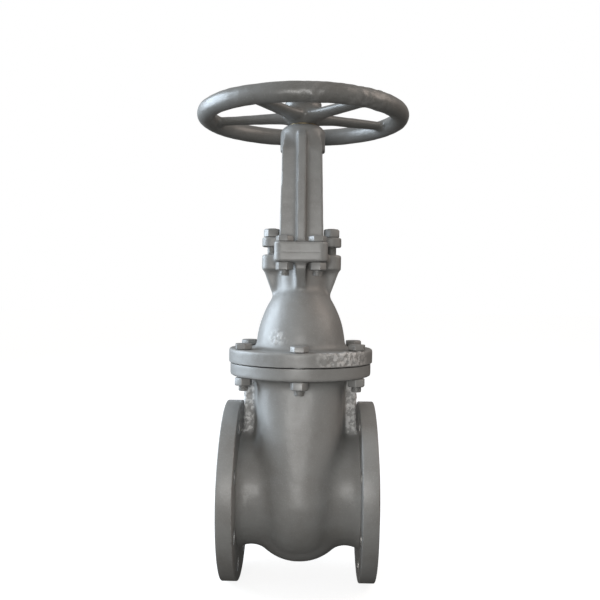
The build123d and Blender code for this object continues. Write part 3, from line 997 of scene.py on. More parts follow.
@dataclass
class BodyCasting:
    """The body: pipe run with two end flanges, wedge chamber, neck, webs and the flange under the bonnet."""

    site: Site
    half_length: float = 95.0
    bore: float = 50.0
    flange_radius: float = 110.0
    flange_thickness: float = 22.0
    raised_radius: float = 79.0
    raised_height: float = 3.0
    edge: float = 1.2
    bolt_circle: float = 90.0
    bolt_hole: float = 9.0
    bolt_count: int = 8
    first_bolt: float = 22.5
    hub_radius: float = 66.7
    hub_fillet: float = 6.0
    bulge_radius: float = 66.0
    bulge_centre: float = -22.0
    chamber_half_width: float = 53.4
    chamber_half_depth: float = 86.0
    chamber_foot: float = 80.0
    neck_half_depth: float = 66.5
    chamber_shoulder: float = 20.0
    chamber_fall: float = 120.0
    roundness: Point = (2.25, 3.3)
    rounded_up_to: float = 30.0
    web_thickness: float = 12.0
    web_reach: float = 70.5
    top_radius: float = 87.5
    top_low: float = 144.6
    top_high: float = 159.6
    top_bolt_circle: float = 78.5
    top_bolt_hole: float = 7.0
    top_bolt_count: int = 6
    pocket_half_width: float = 28.0
    pocket_radius: float = 66.0
    pocket_corner: float = 20.0
    neck_inside: Point = (46.0, 59.5)
    neck_levels: Spot = (66.5, 82.0, 166.0)
    seat_radius: float = 57.1
    seat_reach: float = 34.0
    swell: Ripple = Ripple(26, 0.35, 3.1)
    grit: Ripple = Ripple(9, 0.12, 7.7)
    crust: Ripple = Ripple(4.5, 1.3, 11.3)
    # Place, reach and left and right share of a painted highlight on rough paint at the front of the hubs,
    # about mid height
    rough_highlight_spot: Point = (63.0, 6.0)
    rough_highlight_reach: Point = (11.0, 17.0)
    rough_highlight_share: Point = (0.28, 0.12)
    grid: float = 1.6

    def chamber_ring(self, height: float, steps: int = 96) -> list[Spot]:
        """Plan of the chamber at a height: tapered from the pipe to the neck and closed in below.

        It is nearly an oval at the pipe and squarer at the neck, where the wedge passes.

        Args:
            height: the height.
            steps: straight pieces round it.

        Returns:
            The ring.
        """
        if height > 0:
            depth = self.chamber_half_depth
            depth += (self.neck_half_depth - self.chamber_half_depth) * height / self.top_low
        else:
            depth = self.chamber_half_depth * math.sqrt(1 - (height / self.chamber_foot) ** 2)
        fall = max(0.0, self.chamber_shoulder - height) / self.chamber_fall
        width = self.chamber_half_width * math.sqrt(1 - fall**2)
        rise = max(0.0, height - self.rounded_up_to) / (self.top_low - self.rounded_up_to)
        power = 2 / (self.roundness[0] + (self.roundness[1] - self.roundness[0]) * rise)
        ring = []
        for step in range(steps):
            turn = 2 * math.pi * step / steps
            wide, deep = math.cos(turn), math.sin(turn)
            x = math.copysign(width * abs(wide) ** power, wide)
            ring.append((x, math.copysign(depth * abs(deep) ** power, deep), height))
        return ring

    def outside(self) -> Shape:
        """Everything of the casting but the crisp end flanges.

        Returns:
            The overlapping skins.
        """
        shape = Shape()
        back = self.half_length - self.flange_thickness
        sunk = back + 4
        flare = [(self.hub_radius + self.hub_fillet, sunk), (self.hub_radius + self.hub_fillet, back)]
        curve = arc((self.hub_radius + self.hub_fillet, back - self.hub_fillet), self.hub_fillet, 90, 180, 6)
        half = flare + curve
        profile = half + [(r, -h) for r, h in reversed(half)]
        shape.lathe(profile, 144, PIPE)
        heights = np.linspace(-0.95 * self.chamber_foot, self.top_low + 4, 46)
        shape.skin([self.chamber_ring(float(height)) for height in heights])
        globe = arc((0, self.bulge_centre), self.bulge_radius, -89.5, 89.5, 40)
        shape.lathe(globe, 96)
        shape.cylinder(AXIS, self.top_radius, self.top_low, self.top_high + FACING, 180)
        for side in (-1, 1):
            outline = [
                (0, self.top_low + 2),
                (side * self.web_reach, self.top_low + 2),
                (side * self.web_reach, self.hub_radius - 8),
                (0, self.hub_radius - 8),
            ]
            shape.prism(outline, -self.web_thickness / 2, self.web_thickness / 2, FRONT)
        return shape

    def end_flange(self, side: int) -> Shape:
        """One end flange with its raised face.

        Args:
            side: -1 at the inlet, 1 at the outlet.

        Returns:
            The turned disc.
        """
        back = self.half_length - self.flange_thickness
        face = self.half_length - self.raised_height
        corners = [
            (0.5, back, 0),
            (self.flange_radius, back, self.edge),
            (self.flange_radius, face, self.edge),
            (self.raised_radius, face, 0.6),
            (self.raised_radius, self.half_length, 0.5),
            (0.5, self.half_length, 0),
        ]
        profile = [(r, side * h) for r, h in rounded(corners, closed=False, steps=4)]
        return Shape().lathe(profile, 192, PIPE)

    def end_holes(self) -> Shape:
        """Bolt holes of both end flanges, all clear of each other.

        Returns:
            Their cutter.
        """
        shape = Shape()
        for side in (-1, 1):
            low = side * (self.half_length - self.flange_thickness - 6)
            high = side * (self.half_length + 4)
            for spot in on_circle(self.bolt_circle, self.bolt_count, self.first_bolt):
                centre = Matrix.Translation((0, *spot))
                shape.lathe([(self.bolt_hole, low), (self.bolt_hole, high)], 40, centre @ PIPE)
        return shape

    def top_holes(self) -> Shape:
        """Bolt holes of the flange under the bonnet.

        Returns:
            Their cutter.
        """
        shape = Shape()
        for spot in on_circle(self.top_bolt_circle, self.top_bolt_count):
            shape.cylinder(spot, self.top_bolt_hole, self.top_low - 3, self.top_high + 3)
        return shape

    def pocket(self) -> Shape:
        """The space for the wedge, round below, which widens into the neck.

        Returns:
            Its cutter.
        """
        outline = arc((0, 0), self.pocket_radius, 180, 360, 40)
        outline += [(side * self.neck_inside[1], self.top_high + 5) for side in (1, -1)]
        return Shape().prism(outline, -self.pocket_half_width, self.pocket_half_width, PIPE)

    def neck(self) -> Shape:
        """The wide upper part of that space.

        Returns:
            Its cutter.
        """
        wide, depth = self.neck_inside[0], self.neck_inside[1] - 4
        rings = []
        for height, half in zip(self.neck_levels, (self.pocket_half_width - 2, wide, wide)):
            rings.append(ring_of(block_outline(half, depth, self.pocket_corner, 5), height))
        return Shape().skin(rings)

    def build(self) -> bpy.types.Object:
        """Make the casting.

        Returns:
            The piece.
        """
        stem_x = self.site.stem_x
        skin = fused(self.outside(), "body_casting", stem_x, self.grid)
        x, y, z = skin.drawn(stem_x)
        rim = rise(np.hypot(x, y), self.top_radius - 7, self.top_radius - 4) * (z > self.top_low - 3)
        # The webs count as coarse: rougher, and lighter in colour, partly a painted sheen
        on_web = (np.abs(y) < 8) & (np.abs(x) > 55) & (z > 70) & (z < self.top_low)
        coarse = skin.average(skin.average(on_web.astype(float)[:, None]))[:, 0]
        skin.soften(5, 1 - 0.55 * rim)
        skin.fill(70, weight=np.clip(1 - 0.9 * rim - 0.75 * coarse, 0, 1))
        skin.ripple(self.swell)
        skin.ripple(self.grit)
        skin.ripple(self.crust, coarse)
        skin.soften(1)
        skin.write()
        # Painted highlight: a rough, lighter patch at the front of each hub about mid height, stronger on
        # the left hub
        beside = (np.abs(x) - self.rough_highlight_spot[0]) / self.rough_highlight_reach[0]
        above = (z - self.rough_highlight_spot[1]) / self.rough_highlight_reach[1]
        rough_highlight = np.clip(1 - np.hypot(beside, above), 0, 1) * (y < 0)
        rough = np.clip(coarse + np.where(x < 0, *self.rough_highlight_share) * rough_highlight, 0, 1)
        measure = skin.relief(26, 1.6)
        for side in (-1, 1):
            change(skin.piece, self.end_flange(side).mesh("end_flange", stem_x), Cut.ONTO)
        cutters = (
            pipe_bore(self.bore, self.half_length + 5),
            self.pocket(),
            self.neck(),
            pipe_bore(self.seat_radius, self.seat_reach),
            self.end_holes(),
            self.top_holes(),
            slab(self.top_high, self.top_high + 2 * FACING),
        )
        casting = machined(skin, cutters, stem_x, measure, rough)
        self.bare(casting)
        return casting

    def bare(self, casting: bpy.types.Object) -> None:
        """Mark the turned raised faces and the walls of the drilled flange holes.

        Args:
            casting: the casting.
        """
        count = len(casting.data.polygons)
        centres, normals = np.empty(count * 3), np.empty(count * 3)
        casting.data.polygons.foreach_get("center", centres)
        casting.data.polygons.foreach_get("normal", normals)
        centres, normals = centres.reshape(-1, 3) / MM, normals.reshape(-1, 3)
        along = np.abs(centres[:, 0] - self.site.stem_x / MM)
        bared = (along > self.half_length - 0.1) & (np.abs(normals[:, 0]) > 0.9)
        in_wall = (np.abs(normals[:, 0]) < 0.5) & (along > self.half_length - self.flange_thickness - 1)
        for y, z in on_circle(self.bolt_circle, self.bolt_count, self.first_bolt):
            bared |= in_wall & (np.hypot(centres[:, 1] - y, centres[:, 2] - z) < self.bolt_hole + 0.2)
        attribute = casting.data.attributes.new("bare", "FLOAT", "FACE")
        attribute.data.foreach_set("value", bared.astype(float))


@dataclass
class BonnetCasting:
    """The bonnet: round flange, oval dome, neck, top flange, two stud lugs with ribs and two gussets."""

    site: Site
    flange_radius: float = 89.5
    flange_low: float = 161.2
    flange_high: float = 177.9
    bolt_circle: float = 78.5
    bolt_hole: float = 7.0
    bolt_count: int = 6
    dome_half_width: float = 56.0
    dome_half_depth: float = 62.0
    dome_springing: float = 170.0
    dome_rise: float = 92.0
    dome_wall: float = 8.0
    neck_radius: float = 28.5
    neck_foot: float = 240.0
    top_low: float = 283.6
    top_high: float = 295.0
    top_half_width: float = 32.2
    top_half_depth: float = 56.0
    top_corner: float = 9.0
    lug_low: float = 275.4
    lug_high: float = 294.2
    lug_radius: float = 12.4
    stud_x: float = 37.2
    rib_thickness: float = 12.0
    rib_foot: float = 242.5
    gusset_thickness: float = 12.5
    gusset_foot: float = 250.0
    gusset_reach: float = 50.0
    yoke_bolt: Point = (19.7, 43.5)
    stud_hole: float = 6.1
    bushing_hole: Spot = (17.1, 230.0, 250.0)
    stem_hole: Spot = (13.0, 245.0, 300.0)
    stuffing_box: Spot = (18.7, 262.0, 300.0)
    hollow_top: float = 236.0
    swell: Ripple = Ripple(22, 0.3, 5.3)
    grit: Ripple = Ripple(8, 0.12, 9.9)
    filled_edge: Ripple = Ripple(5.5, 1.9, 2.3)
    filled_bearing: Point = (-52.0, 26.0)
    scar: Ripple = Ripple(4.0, 0.9, 4.4)
    scar_spot: Point = (-118.0, 193.0)
    scar_reach: float = 16.0
    grid: float = 1.35

    def dome_ring(self, height: float, wall: float, steps: int = 96) -> list[Spot]:
        """Oval of the dome at a height.

        Args:
            height: the height.
            wall: how far inside the outer surface.
            steps: straight pieces round it.

        Returns:
            The ring.
        """
        above = (height - self.dome_springing) / (self.dome_rise - wall)
        share = math.sqrt(max(0.0, 1 - above**2))
        wide = (self.dome_half_width - wall) * share
        deep = (self.dome_half_depth - wall) * share
        turns = [2 * math.pi * step / steps for step in range(steps)]
        return [(wide * math.cos(turn), deep * math.sin(turn), height) for turn in turns]

    def outside(self) -> Shape:
        """All outer skins of the casting.

        Returns:
            The overlapping skins.
        """
        shape = Shape()
        edge = [(0.5, self.flange_low - FACING, 0), (self.flange_radius, self.flange_low - FACING, 0.5)]
        edge += [(self.flange_radius, self.flange_high, 2.0), (0.5, self.flange_high, 0)]
        shape.lathe(rounded(edge, closed=False, steps=5), 180)
        heights = np.linspace(self.flange_low + 4, self.dome_springing + self.dome_rise * 0.985, 48)
        shape.skin([self.dome_ring(float(height), 0) for height in heights])
        shape.cylinder(AXIS, self.neck_radius, self.neck_foot, self.top_low + 2, 96)
        shape.prism(slot_outline(self.stud_x, self.lug_radius, 14), self.lug_low, self.lug_high)
        plate = block_outline(self.top_half_width, self.top_half_depth, self.top_corner, 8)
        shape.prism(plate, self.top_low, self.top_high + FACING)
        rib = [(0, self.rib_foot), (self.stud_x - 2, self.rib_foot)]
        rib += [(self.stud_x + self.lug_radius - 2, self.lug_low + 0.5), (0, self.lug_low + 0.5)]
        gusset = [(0, self.gusset_foot), (self.neck_radius + 2, self.gusset_foot)]
        gusset += [(self.gusset_reach, self.lug_low), (self.gusset_reach, self.top_low + 1)]
        gusset.append((0, self.top_low + 1))
        for side in (-1, 1):
            half = self.rib_thickness / 2
            shape.prism([(side * x, z) for x, z in rib], -half, half, FRONT)
            half = self.gusset_thickness / 2
            shape.prism([(side * y, z) for y, z in gusset], -half, half, PIPE)
        return shape

    def holes(self) -> Shape:
        """Clearance holes for the bonnet bolts, the yoke bolts and the gland studs.

        Returns:
            Their cutter.
        """
        shape = Shape()
        for spot in on_circle(self.bolt_circle, self.bolt_count):
            shape.cylinder(spot, self.bolt_hole, self.flange_low - 3, self.flange_high + 3)
        for x in (-1, 1):
            for y in (-1, 1):
                spot = (x * self.yoke_bolt[0], y * self.yoke_bolt[1])
                shape.cylinder(spot, self.bolt_hole, self.top_low - 3, self.top_high + 3)
            shape.cylinder((x * self.stud_x, 0), self.stud_hole, self.lug_low + 1, self.top_high + 3)
        return shape

    def hollow(self) -> Shape:
        """The space under the dome, which the open valve lifts its wedge into."""
        heights = np.linspace(self.flange_low - 4, self.hollow_top, 24)
        return Shape().skin([self.dome_ring(float(height), self.dome_wall) for height in heights])

    def build(self) -> bpy.types.Object:
        """Make the casting.

        Returns:
            The piece.
        """
        stem_x = self.site.stem_x
        skin = fused(self.outside(), "bonnet_casting", stem_x, self.grid)
        x, y, z = skin.drawn(stem_x)
        reach = np.hypot(x, y)
        bearing = np.degrees(np.arctan2(y, x))
        rim = rise(reach, self.flange_radius - 6, self.flange_radius - 3) * (z < self.flange_high + 2)
        head = rise(z, self.lug_low - 4, self.lug_low)
        skin.soften(4, 1 - 0.5 * rim)
        skin.fill(36, weight=np.clip(1 - 0.9 * rim - 0.55 * head, 0, 1))
        skin.ripple(self.swell)
        skin.ripple(self.grit)
        middle, half = self.filled_bearing
        patch = rise(np.abs(bearing - middle), half, 0) ** 0.5 * rim * (z > self.flange_low + 1)
        skin.ripple(self.filled_edge, patch)
        off = np.hypot(bearing - self.scar_spot[0], (z - self.scar_spot[1]) * 1.4)
        scar = rise(off, self.scar_reach, 0) * (reach < 70)
        skin.ripple(self.scar, scar)
        skin.soften(1)
        skin.write()
        measure = skin.relief(26, 1.4)
        bores = (self.bushing_hole, self.stem_hole, self.stuffing_box)
        cutters = (
            self.hollow(),
            *(Shape().cylinder(AXIS, *bore, 64) for bore in bores),
            self.holes(),
            slab(self.flange_low - 2 * FACING, self.flange_low),
            slab(self.top_high, self.top_high + 2 * FACING),
        )
        return machined(skin, cutters, stem_x, measure, np.clip(patch + scar, 0, 1))


@dataclass
class YokeCasting:
    """The yoke: two feet, two T-section legs front and back, and the round boss for the stem nut."""

    site: Site
    foot_low: float = 295.0
    foot_high: float = 307.5
    foot_inner: float = 20.0
    foot_outer: float = 56.0
    foot_half_width: float = 32.2
    foot_corner: float = 9.0
    leg_inner: float = 22.0
    leg_outer: float = 29.6
    leg_low_half: float = 27.0
    leg_high_half: float = 24.5
    leg_head: Point = (12.0, 17.0)
    leg_head_rise: float = 24.0
    rib_half: float = 5.25
    rib_low: float = 41.0
    rib_high: float = 37.0
    boss_radius: float = 28.0
    boss_low: float = 422.0
    boss_high: float = 455.0
    shoulder: float = 12.0
    bolt: Point = (19.7, 43.5)
    bolt_hole: float = 7.0
    nut_bore: float = 21.3
    neck_bore: float = 16.6
    swell: Ripple = Ripple(30, 0.35, 6.1)
    grit: Ripple = Ripple(10, 0.12, 1.9)
    grid: float = 1.2

    def outside(self) -> Shape:
        """All outer skins of the casting.

        Returns:
            The overlapping skins.
        """
        shape = Shape()
        boss = [(0.5, self.boss_low, 0), (self.boss_radius, self.boss_low, 1.0)]
        boss += [(self.boss_radius, self.boss_high, self.shoulder), (0.5, self.boss_high, 0)]
        shape.lathe(rounded(boss, closed=False, steps=10), 96)
        for side in (-1, 1):
            corners = [
                (-self.foot_half_width, side * self.foot_inner, 2.0),
                (self.foot_half_width, side * self.foot_inner, 2.0),
                (self.foot_half_width, side * self.foot_outer, self.foot_corner),
                (-self.foot_half_width, side * self.foot_outer, self.foot_corner),
            ]
            shape.prism(rounded(corners, steps=6), self.foot_low - FACING, self.foot_high)
            bars = (
                (self.foot_high - 3, self.leg_low_half, self.leg_inner, self.leg_outer),
                (self.boss_low, self.leg_high_half, self.leg_inner, self.leg_outer),
                (self.boss_low + 1, self.leg_high_half, self.leg_head[0], self.leg_outer),
                (self.boss_low + self.leg_head_rise, self.leg_high_half - 3, *self.leg_head),
            )
            rings = []
            for height, half, inner, outer in bars:
                plan = [(-half, inner), (half, inner), (half, outer), (-half, outer)]
                rings.append(ring_of([(x, side * y) for x, y in plan], height))
            shape.skin(rings)
            rib = [
                (side * (self.leg_outer - 4), self.foot_high - 3),
                (side * self.rib_low, self.foot_high - 3),
                (side * self.rib_high, self.boss_low),
                (side * self.rib_high, self.boss_low + 14.7),
                (side * 22.0, self.boss_high - 4),
            ]
            shape.prism(rib, -self.rib_half, self.rib_half, PIPE)
        return shape

    def build(self) -> bpy.types.Object:
        """Make the casting.

        Returns:
            The piece.
        """
        skin = fused(self.outside(), "yoke_casting", self.site.stem_x, self.grid)
        skin.soften(3)
        skin.fill(14)
        skin.ripple(self.swell)
        skin.ripple(self.grit)
        skin.write()
        measure = skin.relief(22, 1.3)
        holes = Shape()
        for x in (-1, 1):
            for y in (-1, 1):
                spot = (x * self.bolt[0], y * self.bolt[1])
                holes.cylinder(spot, self.bolt_hole, self.foot_low - 3, self.foot_high + 3)
        cutters = (
            slab(self.foot_low - 2 * FACING, self.foot_low),
            Shape().cylinder(AXIS, self.nut_bore, self.boss_low - 4, self.boss_high - 9, 80),
            Shape().cylinder(AXIS, self.neck_bore, self.boss_high - 12, self.boss_high + 4, 80),
            holes,
        )
        return machined(skin, cutters, self.site.stem_x, measure)


@dataclass
class Handwheel:
    """The handwheel: a round rim with dents, five flat oval spokes and a hub."""

    site: Site
    height: float = 466.0
    radius: float = 120.4
    rim: float = 11.3
    hub_foot_radius: float = 19.0
    hub_radius: float = 24.0
    hub_low: float = 456.0
    hub_high: float = 485.0
    bore: float = 16.6
    spokes: int = 5
    first_bearing: float = 24.0
    spoke_half_width: float = 11.0
    spoke_half_height: float = 6.2
    taper: float = 0.82
    root: float = 0.4
    root_reach: float = 34.0
    swell: Ripple = Ripple(34, 0.4, 8.2)
    grit: Ripple = Ripple(12, 0.25, 2.6)
    dents: Ripple = Ripple(9, 1.6, 5.5)
    dented_bearings: tuple[Spot, ...] = ((-52.0, 22.0, 1.0), (-84.0, 12.0, 0.7))
    dented_from: float = 104.0
    dent_roughness: float = 0.14
    grid: float = 1.25

    def outside(self) -> Shape:
        """All outer skins of the wheel.

        Returns:
            The overlapping skins.
        """
        shape = Shape()
        ring = arc((self.radius, self.height), self.rim, 0, 360, 36)[:-1]
        shape.lathe(ring, 200, looped=True)
        hub = [(0.5, self.hub_low, 0), (self.hub_foot_radius, self.hub_low, 1.0)]
        hub += [(self.hub_radius, self.hub_high, 2.5), (0.5, self.hub_high, 0)]
        shape.lathe(rounded(hub, closed=False, steps=5), 72)
        for index in range(self.spokes):
            turn = Matrix.Rotation(math.radians(self.first_bearing + index * 360 / self.spokes), 4, "Z")
            rings = []
            for reach in np.linspace(self.bore, self.radius, 16):
                beyond = reach - self.bore
                size = 1 + (self.taper - 1) * beyond / (self.radius - self.bore)
                size += self.root * max(0.0, 1 - beyond / self.root_reach) ** 2
                turns = [2 * math.pi * step / 32 for step in range(32)]
                wide = self.spoke_half_width * size
                tall = self.spoke_half_height * size
                rings.append([(reach, wide * math.cos(t), self.height + tall * math.sin(t)) for t in turns])
            shape.skin(rings, turn)
        return shape

    def build(self) -> bpy.types.Object:
        """Make the wheel.

        Returns:
            The piece.
        """
        stem_x = self.site.stem_x
        skin = fused(self.outside(), "handwheel_casting", stem_x, self.grid)
        x, y, _ = skin.drawn(stem_x)
        reach = np.hypot(x, y)
        skin.soften(3)
        at_hub = rise(reach, 52, 32)
        at_rim = rise(np.abs(reach - 108), 14, 0)
        skin.fill(60, weight=np.clip(0.15 + at_hub + 0.6 * at_rim, 0, 1))
        skin.ripple(self.swell)
        skin.ripple(self.grit)
        x, y, _ = skin.drawn(stem_x)
        bearing = np.degrees(np.arctan2(y, x))
        dented = sum(share * rise(np.abs(bearing - at), half, 0) for at, half, share in self.dented_bearings)
        dented = dented * (reach > self.dented_from)
        skin.ripple(self.dents, dented)
        skin.soften(1)
        skin.write()
        measure = skin.relief(22, 1.3)
        bore = Shape().cylinder(AXIS, self.bore, self.hub_low - 5, self.hub_high + 5, 72)
        return machined(skin, [bore], stem_x, measure, self.dent_roughness * dented)


@dataclass
class Thread:
    """An outer screw thread, as a closed rod whose crests are drawn turn by turn."""

    crest: float
    root: float
    pitch: float
    crest_share: float = 0.35
    root_share: float = 0.35

    def rod(self, shape: Shape, low: float, high: float, place: Matrix, steps: int = 48) -> Shape:
        """Add a threaded rod.

        Args:
            shape: the shape it is added to.
            low: height of its lower end.
            high: height of its upper end.
            place: puts the rod's axis in place.
            steps: straight pieces in one turn.

        Returns:
            The shape.
        """
        flank = (1 - self.crest_share - self.root_share) / 2
        stops = (0.0, self.crest_share, self.crest_share + flank, 1 - flank)
        radii = (self.crest, self.crest, self.root, self.root)
        turns = math.ceil((high - low) / self.pitch) + 1
        rings = []
        for turn in range(-1, turns):
            for stop, radius in zip(stops, radii):
                ring = []
                for step in range(steps):
                    bearing = 2 * math.pi * step / steps
                    height = low + (turn + stop + step / steps) * self.pitch
                    held = min(max(height, low), high)
                    end = min(held - low, high - held)
                    reach = min(radius, self.root + end)
                    ring.append((reach * math.cos(bearing), reach * math.sin(bearing), held))
                rings.append(ring)
        return shape.skin(rings, place)


@dataclass
class HexFastener:
    """Bolts, studs and nuts of one thread size, painted with the casting."""

    site: Site
    radius: float = 6.0
    pitch: float = 1.75
    across_flats: float = 19.0
    head_height: float = 7.6
    nut_height: float = 10.2
    tail: float = 16.4
    thread_depth: float = 0.85
    thread_shares: Point = (0.25, 0.2)
    thread_steps: int = 28
    crest_wear: float = 0.05
    crown_share: float = 0.96
    corner: float = 1.1
    bevel: float = 0.9
    crown_drop: float = 0.55

    def hexagon(self, shape: Shape, low: float, high: float, place: Matrix) -> Shape:
        """Add a hexagon with bevelled corners above and below.

        Args:
            shape: the shape it is added to.
            low: height of its lower face.
            high: height of its upper face.
            place: puts it in place.

        Returns:
            The shape.
        """
        half = self.across_flats / 2
        reach = half / math.cos(math.pi / 6)
        turns = [math.pi / 3 * index for index in range(6)]
        corners = [(reach * math.cos(turn), reach * math.sin(turn), self.corner) for turn in turns]
        outline = rounded(corners, steps=3)
        crown = half * self.crown_share

        def ring(inset: float, height: float, dip: float) -> list[Spot]:
            """Draw one ring of the hexagon.

            Args:
                inset: how far it is drawn in.
                height: its height.
                dip: 1 where its corners rise beyond the crown circle, -1 where they fall, or 0.

            Returns:
                Its corners.
            """
            spots = []
            for x, y in outline:
                size = math.hypot(x, y)
                share = (size - inset) / size
                beyond = max(0.0, size - inset - crown)
                spots.append((x * share, y * share, height + dip * beyond * self.crown_drop))
            return spots

        rings = [ring(half * 0.5, low, 0), ring(self.bevel, low, 1), ring(0.0, low + 0.35, 1)]
        rings += [ring(0.0, high - 0.55, -1), ring(0.25, high - 0.15, -1), ring(self.bevel, high, -1)]
        rings.append(ring(half * 0.5, high, 0))
        return shape.skin(rings, place)

    def screw(self, shape: Shape, spot: Point, crest: float, low: float, high: float) -> Shape:
        """Add a threaded rod of this thread size, whose crests may be worn to a smaller radius."""
        thread = Thread(crest, self.radius - self.thread_depth, self.pitch, *self.thread_shares)
        return thread.rod(shape, low, high, Matrix.Translation((*spot, 0)), self.thread_steps)

    def finished(self, shape: Shape, name: str) -> bpy.types.Object:
        """Turn a drawn fastener into a shaded piece.

        Args:
            shape: the fastener.
            name: the piece's name.

        Returns:
            The piece.
        """
        piece = shape.mesh(name, self.site.stem_x)
        shade(piece, FASTENER_CREASE)
        return piece

    def bolt(
        self, name: str, spot: Point, head_low: float, nut_high: float, turns: Point
    ) -> bpy.types.Object:
        """Make a bolt with its head on top and its nut below.

        Args:
            name: the piece's name.
            spot: x and y of its axis.
            head_low: height of the seat under the head.
            nut_high: height of the seat over the nut.
            turns: bearings of a corner of the head and of the nut, in degrees.

        Returns:
            The piece.
        """
        place = Matrix.Translation((*spot, 0))
        head, nut = (place @ Matrix.Rotation(math.radians(turn), 4, "Z") for turn in turns)
        shape = Shape()
        self.hexagon(shape, head_low, head_low + self.head_height, head)
        self.hexagon(shape, nut_high - self.nut_height, nut_high, nut)
        self.screw(shape, spot, self.radius - self.crest_wear, nut_high - self.tail, nut_high + 4)
        shape.cylinder(spot, self.radius - 0.3, nut_high + 3, head_low + 1, self.thread_steps)
        return self.finished(shape, name)

    def nut(self, name: str, spot: Point, low: float, high: float, turn: float) -> bpy.types.Object:
        """Make a nut round a stud.

        Args:
            name: the piece's name.
            spot: x and y of its axis.
            low: height of its lower face.
            high: height of its upper face.
            turn: bearing of its first corner, in degrees.

        Returns:
            The piece.
        """
        place = Matrix.Translation((*spot, 0)) @ Matrix.Rotation(math.radians(turn), 4, "Z")
        return self.finished(self.hexagon(Shape(), low, high, place), name)

    def stud(self, name: str, spot: Point, low: float, high: float) -> bpy.types.Object:
        """Make a threaded stud.

        Args:
            name: the piece's name.
            spot: x and y of its axis.
            low: height of its lower end.
            high: height of its upper end.

        Returns:
            The piece.
        """
        return self.finished(self.screw(Shape(), spot, self.radius, low, high), name)


@dataclass
class GlandPlate:
    """The gland flange: a cast oval plate with two ears, drawn down on the follower."""

    site: Site
    low: float = 303.7
    high: float = 315.6
    middle_radius: float = 16.5
    ear_radius: float = 12.4
    stud_x: float = 37.2
    hole: float = 6.7
    bore: float = 13.0
    nut_height: float = 10.7
    stud_stand: float = 11.3
    swell: Ripple = Ripple(12, 0.2, 3.7)
    grid: float = 0.8

    def build(self) -> bpy.types.Object:
        """Make the plate.

        Returns:
            The piece.
        """
        shape = Shape().prism(slot_outline(self.stud_x, self.ear_radius, 16), self.low, self.high)
        shape.cylinder(AXIS, self.middle_radius, self.low, self.high, 72)
        skin = fused(shape, "gland_plate", self.site.stem_x, self.grid)
        skin.soften(4)
        skin.fill(30)
        skin.ripple(self.swell)
        skin.write()
        measure = skin.relief(18, 1.0)
        holes = Shape().cylinder(AXIS, self.bore, self.low - 3, self.high + 3, 64)
        for side in (-1, 1):
            holes.cylinder((side * self.stud_x, 0), self.hole, self.low - 3, self.high + 3, 40)
        return machined(skin, [holes], self.site.stem_x, measure)


@dataclass
class Stem:
    """The stem: a rod with a head for the wedge, a backseat collar and a square-cut lifting thread."""

    site: Site
    radius: float = 12.0
    low: float = 62.0
    high: float = 500.0
    head_height: float = 10.0
    head_half: Point = (12.0, 16.5)
    head_corner: float = 1.5
    collar_radius: float = 16.0
    collar_low: float = 120.7
    collar_high: float = 129.7
    thread_low: float = 318.0
    thread_high: float = 497.6
    pitch: float = 5.0
    thread_depth: float = 2.5

    def build(self) -> bpy.types.Object:
        """Make the stem.

        Returns:
            The piece.
        """
        shape = Shape()
        outline = block_outline(*self.head_half, self.head_corner, 4)
        shape.prism(outline, self.low, self.low + self.head_height)
        turned = [
            (self.radius, self.low + 1, 0),
            (self.radius, self.collar_low, 0.8),
            (self.collar_radius, self.collar_low, 0.8),
            (self.collar_radius, self.collar_high - 1.5, 1.5),
            (self.radius, self.collar_high, 0),
            (self.radius, self.thread_low - 1, 0),
            (self.radius - 2.4, self.thread_low + 1.4, 0),
            (self.radius - 2.6, self.thread_high, 0),
        ]
        shape.lathe(rounded(turned, closed=False, steps=3), 64)
        thread = Thread(self.radius, self.radius - self.thread_depth, self.pitch)
        thread.rod(shape, self.thread_low, self.thread_high, UPRIGHT, 56)
        tip = [(self.radius - 2.7, self.thread_high - 3), (self.radius - 2.7, self.high - 0.8)]
        shape.lathe(tip + [(self.radius - 3.5, self.high)], 48)
        piece = shape.mesh("stem_screw", self.site.stem_x)
        shade(piece, FASTENER_CREASE)
        return piece


@dataclass(frozen=True)
class Lamp:
    """One soft lamp: its place, its width and height, its power in watts and its colour."""

    name: str
    spot: Spot
    size: Point
    power: float
    colour: Colour


